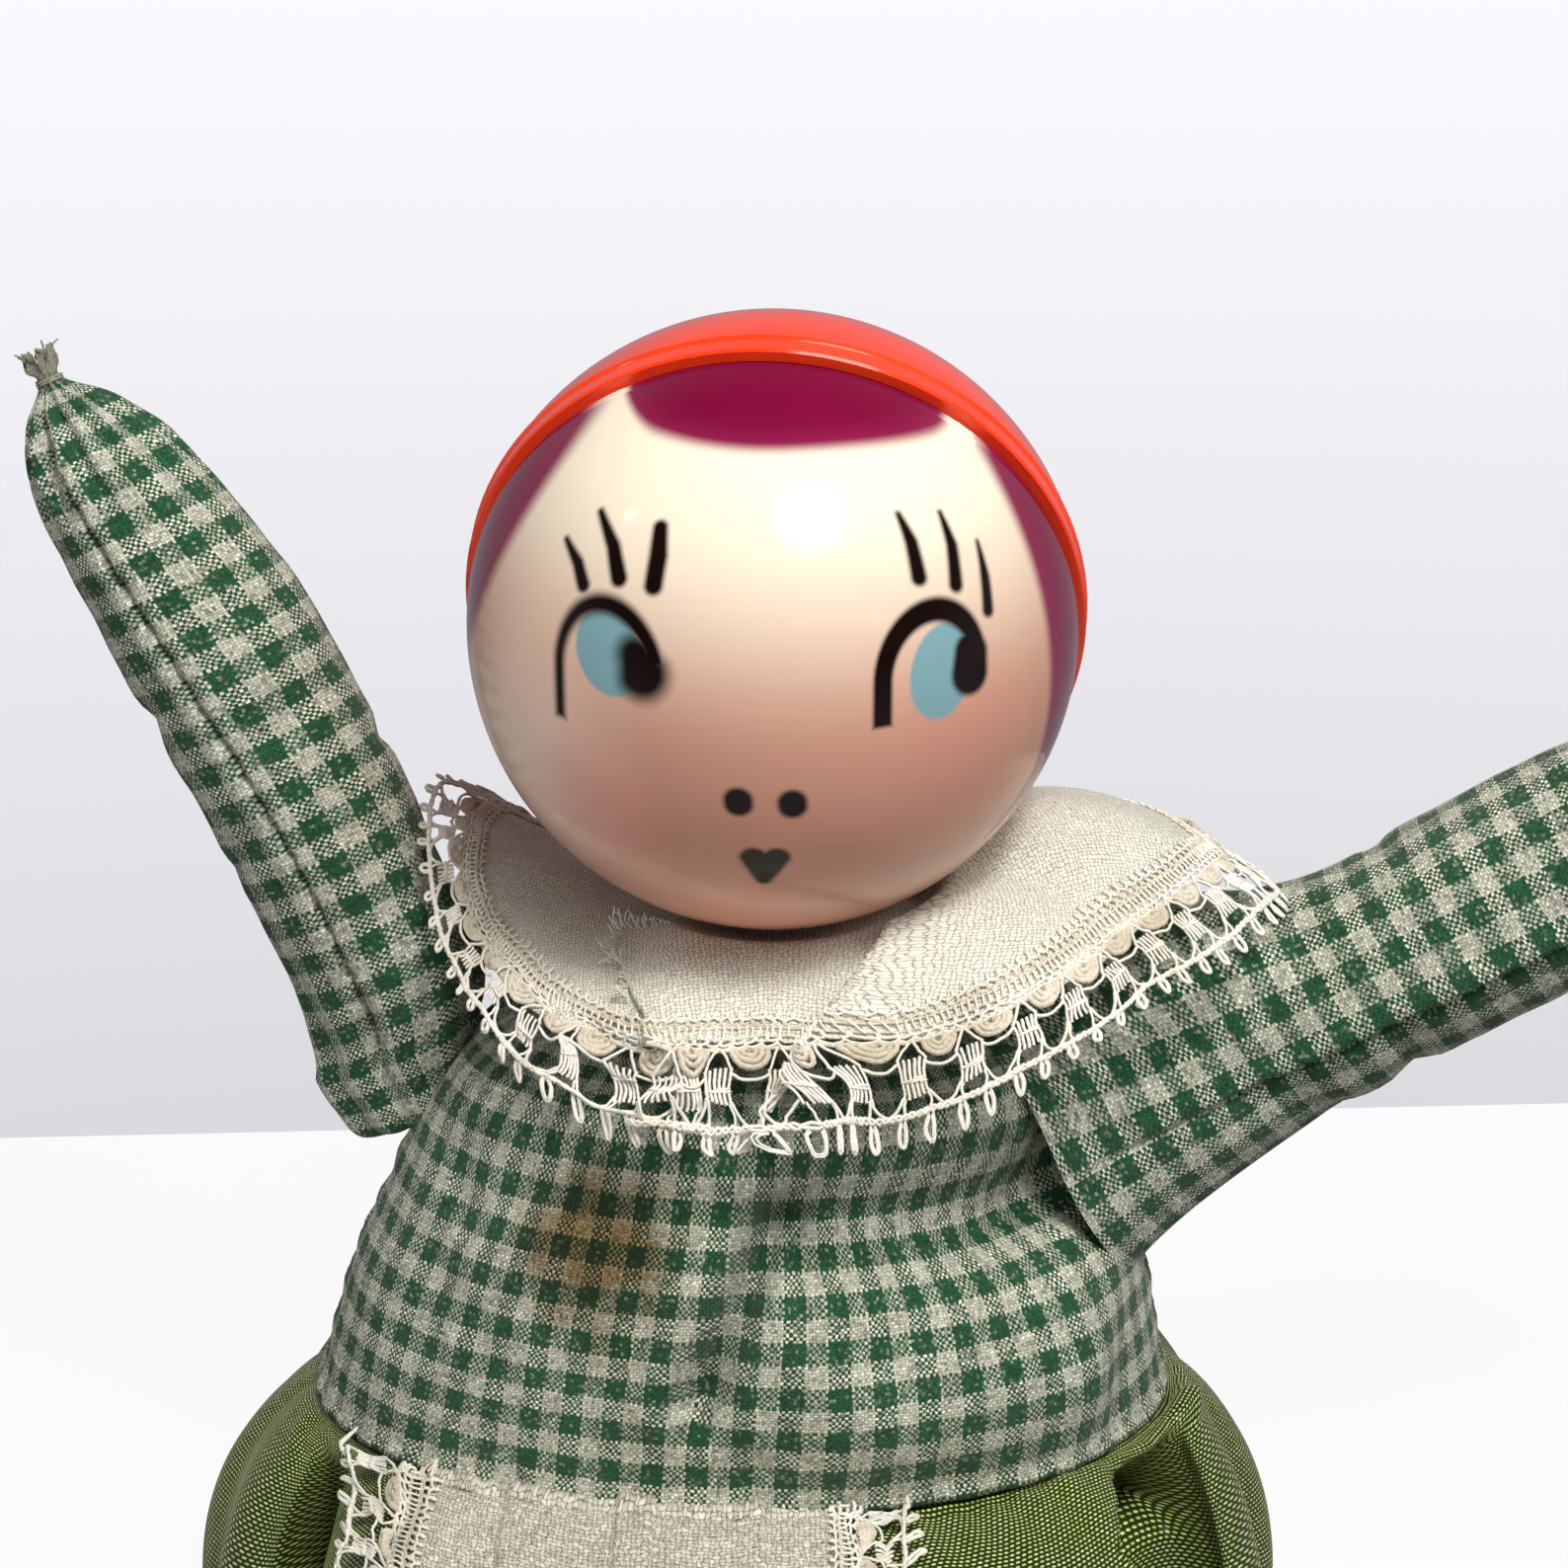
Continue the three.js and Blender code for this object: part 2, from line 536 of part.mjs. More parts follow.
// A point beside the seat at hip height, this far from its cloth.
function besideSeat(angle, distance) {
  const outline = (a) => bodyPoint(bodyShare(LEG.swell), a, SKIN);
  const step = degrees(0.1);
  const along = outline(angle + step).sub(outline(angle - step)).normalize();
  return outline(angle).add(new THREE.Vector3(along.y, -along.x, 0).multiplyScalar(distance)).setZ(LEG.swell);
}

// The legs lie forward on the table, in front of the seat and under the skirt.
for (const [name, side] of [["leg_right", -1], ["leg_left", 1]]) {
  const hip = new THREE.Group();
  const angle = -Math.PI / 2 + side * degrees(90 - HIP_ANGLE);
  hip.position.copy(besideSeat(angle, LEG.root + GAP));
  hip.rotation.z = side * degrees(LEG_SPLAY);
  const leg = new THREE.Group();
  leg.rotation.x = Math.PI / 2;
  hip.add(leg);
  doll.add(hip);
  addLimb(name, LEG, side, "cloth", leg);
}

// Skirt and apron

const mix = THREE.MathUtils.lerp;

// How much of the skirt lies on the legs, from 0 to 1, and its flare elsewhere, by degrees from the front.
const onLap = (fromFront) => 1 - smooth((fromFront - LAP_HALF_ANGLE) / LAP_BLEND_ANGLE);
function flareBeside(fromFront) {
  const corner = LAP_HALF_ANGLE + LAP_BLEND_ANGLE;
  if (fromFront > SIDE_ANGLE) {
    return mix(SKIRT_FLARE_SIDE, SKIRT_FLARE_BACK, smooth((fromFront - SIDE_ANGLE) / SIDE_ANGLE));
  }
  return mix(SKIRT_FLARE_CORNER, SKIRT_FLARE_SIDE, smooth((fromFront - corner) / (SIDE_ANGLE - corner)));
}

// A point of the skirt at an angle round the waist and a share s of the way down, from waist to hem.
function skirtPoint(angle, s) {
  const waist = bodyPoint(waistShare, angle, SKIN + GAP);
  const fromBack = THREE.MathUtils.euclideanModulo(THREE.MathUtils.radToDeg(angle) - 90, 360);
  const fromFront = Math.abs(fromBack - 180);
  const lap = onLap(fromFront);
  const fold = Math.sin(SKIRT_FOLDS * angle) * SKIRT_FOLD_DEPTH * s * (1 - 0.6 * lap);
  const besideOut = flareBeside(fromFront) * Math.sin((s * Math.PI) / 2) ** 0.9 + fold;
  const out = mix(besideOut, SKIRT_FLARE_FRONT * s, lap);
  const hemZ = STAND_OFF + THIN_CLOTH / 2;
  const ripple = LAP_RIPPLE * (1 + Math.sin(SKIRT_FOLDS * angle));
  const lapZ = 2 * LEG.swell + THIN_CLOTH / 2 + GAP + ripple;
  const besideDrop = (waist.z - hemZ) * s ** 1.7;
  const lapDrop = (waist.z - lapZ) * smooth(s);
  return new THREE.Vector3(
    waist.x + out * Math.cos(angle),
    waist.y + out * Math.sin(angle),
    waist.z - GAP - mix(besideDrop, lapDrop, lap),
  );
}

const underSkirt = (p) => new THREE.Vector3(p.x * 0.5, p.y * 0.5, p.z - WAIST_Z);
const skirtSurface = (from, to, top, bottom) => (u, v) =>
  skirtPoint(from + (to - from) * u, top + (bottom - top) * v);
{
  const around = skirtSurface(0, 2 * Math.PI, 0, 1);
  add("skirt", sheet(offset(around, -THIN_CLOTH / 2, underSkirt), offset(around, THIN_CLOTH / 2, underSkirt),
    SKIRT_SIDES, SKIRT_RINGS, { wrap: true }), TAFFETA);
}

// A flat piece on top of the skirt, between two angles and two shares of its length.
function onSkirt(name, material, thickness, [from, to], [top, bottom], nu, nv, isOpen) {
  const surface = skirtSurface(degrees(from), degrees(to), top, bottom);
  const base = THIN_CLOTH / 2 + APRON_STAND_OFF;
  const at = (height) => offset(surface, height, underSkirt);
  add(name, sheet(at(base), at(base + thickness), nu, nv, { isOpen }), material);
}

const laceHole = (holes) => (i, j) => j === 1 && i % 2 === 1 && i < 2 * holes;
const laceHoleAcross = (holes) => (i, j) => i === 1 && j % 2 === 1 && j < 2 * holes;
const APRON_TOP = 0.03;
const APRON_GAP = 0.6; // degrees, between the cloth and the side laces
const APRON_HEM_GAP = 0.012; // share of the skirt's length
onSkirt("apron", COTTON, THIN_CLOTH, [APRON_FROM, APRON_TO], [APRON_TOP, APRON_LENGTH], 16, 5);
onSkirt("apron_lace_right", LACE_COTTON, LACE, [APRON_FROM - APRON_LACE_RIGHT, APRON_FROM - APRON_GAP],
  [APRON_TOP, APRON_LENGTH], 3, 2 * APRON_LACE_HOLES + 1, laceHoleAcross(APRON_LACE_HOLES));
onSkirt("apron_lace_left", LACE_COTTON, LACE, [APRON_TO + APRON_GAP, APRON_TO + APRON_LACE_LEFT],
  [APRON_TOP, APRON_LENGTH], 3, 2 * APRON_LACE_HOLES + 1, laceHoleAcross(APRON_LACE_HOLES));
onSkirt("apron_lace_hem", LACE_COTTON, LACE, [APRON_FROM - APRON_LACE_RIGHT, APRON_TO + APRON_LACE_LEFT],
  [APRON_LENGTH + APRON_HEM_GAP, APRON_LENGTH + APRON_LACE_HEM], 2 * APRON_HEM_HOLES + 1, 3,
  laceHole(APRON_HEM_HOLES));

// Collar: two halves that meet at the front and the back, each with its lace edge

// The surface of one half, from the neck to the outer edge of its lace.
function collarSurface({ middle, edge }) {
  const place = ([x, y, z]) => new THREE.Vector3(NECK_LEAN + x, y, NECK_Z + z);
  const middleCurve = new THREE.CatmullRomCurve3(middle.map(place));
  const edgeCurve = new THREE.CatmullRomCurve3(edge.map(place));
  const side = Math.sign(edge[4][0]);
  return (u, s) => {
    const share = COLLAR_FRONT_GAP + (1 - 2 * COLLAR_FRONT_GAP) * u;
    const angle = -Math.PI / 2 + side * Math.PI * share;
    const neck = new THREE.Vector3(
      NECK_LEAN + COLLAR_NECK_R * Math.cos(angle),
      COLLAR_NECK_R * Math.sin(angle),
      NECK_Z + COLLAR_NECK_RISE,
    );
    const halfway = middleCurve.getPoint(share);
    const outer = edgeCurve.getPoint(share);
    const pull = halfway.multiplyScalar(2).addScaledVector(neck, -0.5).addScaledVector(outer, -0.5);
    return new THREE.QuadraticBezierCurve3(neck, pull, outer).getPoint(s);
  };
}

const underCollar = (p) => new THREE.Vector3(NECK_LEAN + (p.x - NECK_LEAN) * 0.9, p.y * 0.9, p.z - CAP_R);
for (const [name, rings] of [["left", COLLAR_LEFT], ["right", COLLAR_RIGHT]]) {
  const surface = collarSurface(rings);
  const part = (from, to) => (u, v) => surface(u, from + (to - from) * v);
  const clothPart = part(0, COLLAR_CLOTH_SHARE);
  const lacePart = part(COLLAR_CLOTH_SHARE + COLLAR_LACE_GAP, 1);
  const clothTop = offset(clothPart, THIN_CLOTH, underCollar);
  const laceTop = offset(lacePart, LACE, underCollar);
  add(`collar_${name}`, sheet(clothPart, clothTop, COLLAR_STEPS, COLLAR_WIDTH_STEPS), COTTON);
  add(`collar_lace_${name}`, sheet(lacePart, laceTop, 2 * COLLAR_LACE_HOLES + 1, 3,
    { isOpen: laceHole(COLLAR_LACE_HOLES) }), LACE_COTTON);
}

export default doll;
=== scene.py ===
# %% [markdown]
# # A seated rattle doll
# A two-part plastic ball head sits on a cloth body in green gingham. The doll wears a cream cape collar
# with a lace edge, a green taffeta skirt and a small apron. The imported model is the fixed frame: it says
# where each part is and how it moves. Each cell below dresses one part of it, first the stage, then the
# finishes, then the pieces from the head down.

import math

import bmesh
import bpy
import numpy as np
from mathutils import Matrix, Vector, noise


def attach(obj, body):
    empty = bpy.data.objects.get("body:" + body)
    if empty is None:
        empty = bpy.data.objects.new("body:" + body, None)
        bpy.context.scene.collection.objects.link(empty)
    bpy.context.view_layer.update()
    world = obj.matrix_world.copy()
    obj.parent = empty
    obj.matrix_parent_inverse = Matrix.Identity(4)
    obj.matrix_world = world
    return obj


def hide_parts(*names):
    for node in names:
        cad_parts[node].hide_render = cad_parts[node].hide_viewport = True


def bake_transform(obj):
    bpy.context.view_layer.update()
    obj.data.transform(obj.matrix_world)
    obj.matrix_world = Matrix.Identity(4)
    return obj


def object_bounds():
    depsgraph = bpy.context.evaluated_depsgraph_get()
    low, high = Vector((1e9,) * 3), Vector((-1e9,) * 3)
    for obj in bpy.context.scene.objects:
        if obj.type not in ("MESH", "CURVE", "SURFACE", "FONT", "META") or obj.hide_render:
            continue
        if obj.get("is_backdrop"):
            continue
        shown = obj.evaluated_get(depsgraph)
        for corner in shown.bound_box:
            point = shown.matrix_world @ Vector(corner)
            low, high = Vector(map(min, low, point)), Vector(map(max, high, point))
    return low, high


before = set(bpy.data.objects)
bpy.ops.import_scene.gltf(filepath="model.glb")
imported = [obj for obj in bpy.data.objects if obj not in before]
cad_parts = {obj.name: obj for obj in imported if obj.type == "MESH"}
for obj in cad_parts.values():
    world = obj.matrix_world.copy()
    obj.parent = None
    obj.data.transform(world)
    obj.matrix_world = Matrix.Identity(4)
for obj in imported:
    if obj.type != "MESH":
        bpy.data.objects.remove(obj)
cad_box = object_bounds()
scene = bpy.context.scene
scene.view_settings.view_transform = "Standard"
noise.seed_set(4)  # noise vectors follow the clock unless they are given a seed
MM = 0.001

# %% [markdown]
# ## Camera
# The photograph was taken from a little above the head, quite close. A camera's place can be found by
# matching a shape of known size: here the ball head fixed the scale, and the outlines of the arms and the
# waist fixed the height and the tilt. A lens of 57 mm on a 36 mm sensor gives the same perspective.

# %% Camera
camera = bpy.data.objects.new("camera", bpy.data.cameras.new("camera"))
camera.location = Vector((5.242, -294.568, 184.611)) * MM
camera.rotation_euler = (math.radians(90 - 14), 0, 0)
camera.data.sensor_width, camera.data.lens = 36, 57.08
camera.data.clip_start, camera.data.clip_end = 0.01, 20
scene.collection.objects.link(camera)
scene.camera = camera
print("camera", tuple(round(x, 4) for x in camera.location))

# %% [markdown]
# ## Colours and nodes
# Colours are written as on a paint chart, in sRGB hex, and turned to the linear light that a renderer
# adds up. Every material below is a small graph of nodes. One helper adds a node, sets it and links it,
# so that a graph reads from top to bottom like a recipe.


# %% Helpers for colours and nodes
def hex_color(text):
    """A colour in sRGB hex, as linear red, green, blue and alpha."""
    srgb = [int(text[i:i + 2], 16) / 255 for i in (1, 3, 5)]
    return (*(c / 12.92 if c <= 0.04045 else ((c + 0.055) / 1.055) ** 2.4 for c in srgb), 1.0)


def add_node(tree, kind, inputs=None, **settings):
    """Adds a node. Its inputs, by name or number, are values, sockets, or nodes with one main output."""
    new = tree.nodes.new(kind if kind.startswith("NodeGroup") else "ShaderNode" + kind)
    for key, value in settings.items():
        setattr(new, key, value)
    for key, value in (inputs or {}).items():
        if isinstance(value, bpy.types.Node):
            value = value.outputs[0]
        if isinstance(value, bpy.types.NodeSocket):
            tree.links.new(value, new.inputs[key])
        else:
            new.inputs[key].default_value = value
    return new


def new_finish(name, **sockets):
    """A material with one principled shader, whose plain sockets are set by name."""
    finish = bpy.data.materials.new(name)
    finish.use_nodes = True
    shader = finish.node_tree.nodes["Principled BSDF"]
    for key, value in sockets.items():
        shader.inputs[key.replace("_", " ")].default_value = value
    return finish, finish.node_tree, shader


print("white is", hex_color("#FFFFFF"))

# %% [markdown]
# ## Stage
# The doll sits on a white table in front of a pale wall. The table is a thin slab with a rounded back
# edge, at the place where the photograph shows it. It is nearly white to the camera but a mid grey to all
# other rays, so that it doesn't light the doll from below. The wall is far behind, so it is the world's
# own colour: a faint lilac-grey that gets lighter upwards. Shiny plastic mirrors a dimmer room. All other
# light from the world is a soft fill, which is strongest from the front and from above. Soft lamps stand
# where the highlights on the ball head show them.

# %% Table
TABLE_SIZE = (2.4, 0.4, 0.02)
TABLE_BACK = 0.171
TABLE_TURN = math.radians(3.4)
bm = bmesh.new()
bmesh.ops.create_cube(bm, size=1)
bmesh.ops.scale(bm, vec=TABLE_SIZE, verts=bm.verts)
bmesh.ops.translate(bm, vec=(0, TABLE_BACK - TABLE_SIZE[1] / 2, -TABLE_SIZE[2] / 2), verts=bm.verts)
bmesh.ops.bevel(bm, geom=bm.edges[:], offset=0.003, offset_type="OFFSET", segments=3, profile=0.5,
                affect="EDGES", material=-1)
bmesh.ops.rotate(bm, cent=(0, 0, 0), matrix=Matrix.Rotation(TABLE_TURN, 3, "Z"), verts=bm.verts)
table_mesh = bpy.data.meshes.new("table")
bm.to_mesh(table_mesh)
bm.free()
table = bpy.data.objects.new("table", table_mesh)
scene.collection.objects.link(table)
table_finish, tree, shader = new_finish("white painted board", Roughness=0.6)
ray = add_node(tree, "LightPath")
bounce = add_node(tree, "Mix",
                  {0: ray.outputs["Is Camera Ray"], 6: hex_color("#A09FA4"), 7: hex_color("#F3F2F6")},
                  data_type="RGBA")
tree.links.new(bounce.outputs[2], shader.inputs["Base Color"])
glow = add_node(tree, "Emission", {"Color": hex_color("#FFFEFF"), "Strength": 1.0})
seen = add_node(tree, "Math", {0: ray.outputs["Is Camera Ray"], 1: 0.94}, operation="MULTIPLY")
board = add_node(tree, "MixShader", {0: seen, 1: shader, 2: glow})
tree.links.new(board.outputs[0], tree.nodes["Material Output"].inputs["Surface"])
table_mesh.materials.append(table_finish)
table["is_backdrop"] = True
print("table back edge at", round(max(v.co.y for v in table_mesh.vertices), 3))

# %% World
world = bpy.data.worlds.new("pale room")
scene.world = world
world.use_nodes = True
tree = world.node_tree
tree.nodes.clear()
direction = add_node(tree, "TexCoord").outputs["Generated"]
rise = add_node(tree, "SeparateXYZ", {0: direction}).outputs
up_the_wall = add_node(tree, "MapRange", {"Value": rise["Z"], "From Min": -0.37, "From Max": 0.06})
wall = add_node(tree, "Mix", {0: up_the_wall, 6: hex_color("#DAD9DE"), 7: hex_color("#FAFAFF")},
                data_type="RGBA")
ahead = add_node(tree, "Math", {0: rise["Z"], 1: rise["Y"]}, operation="SUBTRACT")
dim_room = add_node(tree, "MapRange", {"Value": ahead, "From Min": 0.0, "From Max": 0.7, "To Max": 0.94})
room = add_node(tree, "Mix", {0: dim_room, 6: hex_color("#9A98A0"), 7: hex_color("#000000")},
                data_type="RGBA")
ray = add_node(tree, "LightPath").outputs
seen_color = add_node(tree, "Mix", {0: ray["Is Camera Ray"], 6: room.outputs[2], 7: wall.outputs[2]},
                      data_type="RGBA")
seen_wall = add_node(tree, "Background", {"Color": seen_color.outputs[2], "Strength": 1.0})
facing = add_node(tree, "MapRange", {"Value": rise["Y"], "From Min": 0.4, "From Max": -0.9, "To Min": 0.22,
                                     "To Max": 0.34}, interpolation_type="SMOOTHSTEP")
overhead = add_node(tree, "MapRange",
                    {"Value": rise["Z"], "From Min": -0.05, "From Max": 0.7, "To Min": 0.14})
strength = add_node(tree, "Math", {0: facing, 1: overhead}, operation="MULTIPLY")
fill = add_node(tree, "Background", {"Color": hex_color("#FAF9F6"), "Strength": strength})
shiny = add_node(tree, "Math", {0: ray["Is Camera Ray"], 1: ray["Is Glossy Ray"]}, operation="MAXIMUM")
shown = add_node(tree, "Math", {0: shiny, 1: ray["Is Transmission Ray"]}, operation="MAXIMUM")
mixed = add_node(tree, "MixShader", {0: shown, 1: fill, 2: seen_wall})
add_node(tree, "OutputWorld", {"Surface": mixed})
print("world nodes:", len(tree.nodes))

# %% Lamps
HEAD_MM = (4.0, -14.215, 133.449)
HEAD = Vector(HEAD_MM) * MM
HEAD_TILT = math.radians(18)
for name, place, size, watts, tint, mirrored in (
    ("window above", (0.089, -0.284, 0.433), 0.18, 0.60, "#FFFAF2", True),
    ("bulb above", (0.135, -0.365, 0.565), 0.11, 2.05, "#FFFBF4", False),
    ("window at the right", (0.50, -0.30, 0.55), 0.30, 1.3, "#FFFCF6", False),
    ("pale wall at the left", (-0.50, -0.48, 0.10), 0.30, 0.9, "#FFF9F4", False),
    ("lamp at the right", (0.38, -0.52, 0.26), 0.024, 0.03, "#FFFFFF", True),
    ("lamp at the left", (-0.42, -0.19, 0.50), 0.040, 0.04, "#FFFFFF", True),
):
    lamp = bpy.data.objects.new(name, bpy.data.lights.new(name, "AREA"))
    lamp.data.shape, lamp.data.size, lamp.data.energy = "DISK", size, watts
    lamp.data.color = hex_color(tint)[:3]
    lamp.location = place
    lamp.visible_glossy = mirrored
    lamp.rotation_euler = (Vector(place) - HEAD).to_track_quat("Z", "Y").to_euler()
    scene.collection.objects.link(lamp)
    print(name, watts, "W")

# %% [markdown]
# ## Woven cloth
# Gingham, cotton and taffeta are all woven: one set of threads runs along the cloth, the other across it,
# and they take turns on top. Each cloth piece carries a map of its flat cut in millimetres, so the
# threads keep their spacing however the cloth is bent. This graph finds which thread a point lies on,
# whether it is on top there, and how high its rounded back stands.


# %% Threads of a weave
def plain_weave(tree, along, across):
    """Number of the lengthways and crossways thread, 1 where the lengthways one is on top, and its height."""
    cut = add_node(tree, "UVMap", uv_map="cut")
    waver = add_node(tree, "TexNoise", {"Vector": cut, "Scale": 0.8, "Detail": 2.0}, noise_dimensions="2D")
    drawn = add_node(tree, "VectorMath", {0: waver.outputs["Color"], 1: (0.5, 0.5, 0.5)},
                     operation="SUBTRACT")
    drawn = add_node(tree, "VectorMath", {0: drawn, "Scale": 1.6 * along}, operation="SCALE")
    pulled = add_node(tree, "VectorMath", {0: cut, 1: drawn}, operation="ADD")
    threads = add_node(tree, "VectorMath", {0: pulled, 1: (1 / along, 1 / across, 0)}, operation="MULTIPLY")
    whole = add_node(tree, "VectorMath", {0: threads}, operation="FLOOR")
    number = add_node(tree, "SeparateXYZ", {0: whole})
    within = add_node(tree, "SeparateXYZ",
                      {0: add_node(tree, "VectorMath", {0: threads}, operation="FRACTION")})
    both = add_node(tree, "Math", {0: number.outputs[0], 1: number.outputs[1]}, operation="ADD")
    on_top = add_node(tree, "Math", {0: both, 1: 2.0}, operation="FLOORED_MODULO")
    backs = [
        add_node(tree, "Math", {0: add_node(tree, "Math", {0: share, 1: math.pi}, operation="MULTIPLY")},
                 operation="SINE")
        for share in within.outputs[:2]
    ]
    height = add_node(tree, "Mix", {0: on_top, 2: backs[1], 3: backs[0]})
    return whole, number, on_top, height


print("weave helper ready")

# %% [markdown]
# ## Gingham
# Gingham is plain-weave cotton with dyed and undyed threads in equal stripes both ways, so it has squares
# of full green, of cream, and of both mixed in dots. The real threads are about 0.32 mm apart, some 16 to
# a repeat of 5.2 mm. That is too fine to show at this size, so 14 thicker threads make the repeat. Age
# has greyed the cloth, and there is an old brown stain on the front. The tufts at the ends of the arms
# are soiled grey, and the top of the body, under the collar, is mixed to the same grey.

# %% Gingham
CHECK = 5.2
THREADS = 14
gingham, tree, shader = new_finish("cotton gingham", Roughness=0.88, Sheen_Weight=0.12, Sheen_Roughness=0.5)
crossing, number, on_top, height = plain_weave(tree, CHECK / THREADS, CHECK / THREADS)
dyed = [
    add_node(tree, "Math", {0: add_node(tree, "Math", {0: n, 1: float(THREADS)}, operation="FLOORED_MODULO"),
                            1: THREADS / 2}, operation="LESS_THAN")
    for n in number.outputs[:2]
]
green_thread = add_node(tree, "Mix", {0: on_top, 2: dyed[1], 3: dyed[0]})
speckle = add_node(tree, "TexWhiteNoise", {"Vector": crossing}, noise_dimensions="2D")
slub = add_node(tree, "MapRange",
                {"Value": add_node(tree, "SeparateColor", {0: speckle.outputs["Color"]}), "From Min": 0.14,
                 "From Max": 0.10, "To Max": 0.4})
patchy = add_node(tree, "Math", {0: add_node(tree, "Math", {0: green_thread, 1: slub}, operation="SUBTRACT")},
                  operation="ABSOLUTE")
place = add_node(tree, "TexCoord").outputs["Object"]
fading = add_node(tree, "TexNoise", {"Vector": place, "Scale": 55.0, "Detail": 3.0})
green = add_node(tree, "Mix", {0: fading, 6: hex_color("#154A2B"), 7: hex_color("#336C49")}, data_type="RGBA")
cream = add_node(tree, "Mix", {0: fading, 6: hex_color("#C8CBB8"), 7: hex_color("#E4E6D8")}, data_type="RGBA")
checks = add_node(tree, "Mix", {0: patchy, 6: cream.outputs[2], 7: green.outputs[2]}, data_type="RGBA")
# Painted shade: the gaps between the threads are darker.
shade = add_node(tree, "MapRange", {"Value": height, "To Min": 0.45, "To Max": 1.05})
cut = add_node(tree, "SeparateXYZ", {0: add_node(tree, "UVMap", uv_map="cut")}).outputs
lengthways = add_node(tree, "VectorMath", {0: add_node(tree, "CombineXYZ", {0: number.outputs[0], 1: cut[1]}),
                                           1: (5.3, 0.45, 0.0)}, operation="MULTIPLY")
crossways = add_node(tree, "VectorMath", {0: add_node(tree, "CombineXYZ", {0: cut[0], 1: number.outputs[1]}),
                                          1: (0.45, 5.3, 0.0)}, operation="MULTIPLY")
on_thread = add_node(tree, "Mix", {0: on_top, 4: crossways, 5: lengthways}, data_type="VECTOR")
streaks = add_node(tree, "TexNoise", {"Vector": on_thread.outputs[1], "Scale": 1.0, "Detail": 1.0},
                   noise_dimensions="2D")
streaky = add_node(tree, "MapRange", {"Value": streaks, "From Min": 0.25, "From Max": 0.75, "To Min": 0.62,
                                      "To Max": 1.28})
speckled = add_node(tree, "MapRange", {"Value": speckle, "To Min": 0.8, "To Max": 1.12})
# Painted sheen: threads that lie across are lighter than threads that lie lengthways.
painted_sheen_each_way = add_node(tree, "MapRange", {"Value": on_top, "To Min": 1.1, "To Max": 0.86})
uneven = add_node(tree, "Math", {0: add_node(tree, "Math", {0: streaky, 1: speckled}, operation="MULTIPLY"),
                                 1: painted_sheen_each_way}, operation="MULTIPLY")
depth = add_node(tree, "Math", {0: shade, 1: uneven}, operation="MULTIPLY")
threads = add_node(tree, "Mix", {0: 1.0, 6: checks.outputs[2], 7: depth}, data_type="RGBA",
                   blend_type="MULTIPLY")
print("gingham weave nodes:", len(tree.nodes))

# %% Stain, soiled tufts and a greyer top on the gingham
blotch = add_node(tree, "TexNoise", {"Vector": place, "Scale": 210.0, "Detail": 4.0})
near_stain = add_node(tree, "VectorMath", {0: place, 1: tuple(Vector((-16.5, -32.0, 64.6)) * MM)},
                      operation="DISTANCE")
ragged = add_node(tree, "Math", {0: blotch, 1: -0.012, 2: near_stain.outputs["Value"]},
                  operation="MULTIPLY_ADD")
stained = add_node(tree, "MapRange",
                   {"Value": ragged, "From Min": 0.0088, "From Max": -0.0025, "To Max": 0.9},
                   interpolation_type="SMOOTHSTEP")
brown = add_node(tree, "Mix", {0: stained, 6: threads.outputs[2], 7: hex_color("#9C7B44")}, data_type="RGBA",
                 blend_type="MULTIPLY")
# The tufts past the ties are soiled grey; the top of the body, under the collar, is mixed to the same grey.
grey_tufts_and_top = add_node(tree, "MapRange", {"Value": cut[1], "From Min": 89.2, "From Max": 91.5, "To Max": 0.85})
with_grey_tufts_and_top = add_node(tree, "Mix", {0: grey_tufts_and_top, 6: brown.outputs[2], 7: hex_color("#8D897B")}, data_type="RGBA")
tree.links.new(with_grey_tufts_and_top.outputs[2], shader.inputs["Base Color"])
weave_bump = add_node(tree, "Bump", {"Height": height, "Strength": 0.5, "Distance": 0.00025})
tree.links.new(weave_bump.outputs[0], shader.inputs["Normal"])
print("gingham nodes:", len(tree.nodes))

# %% [markdown]
# ## Cream cotton
# The collar and the apron are loose plain weaves of undyed cotton. Painted shade darkens the small gaps
# between the threads. The real spacing is 0.33 mm, drawn here as 0.5 mm so that it shows. A broad noise
# yellows the cloth a little. The apron's cotton is coarser, and its darker grey colour is painted shade,
# as the apron lies in the body's shade. So it has the same graph with other values.

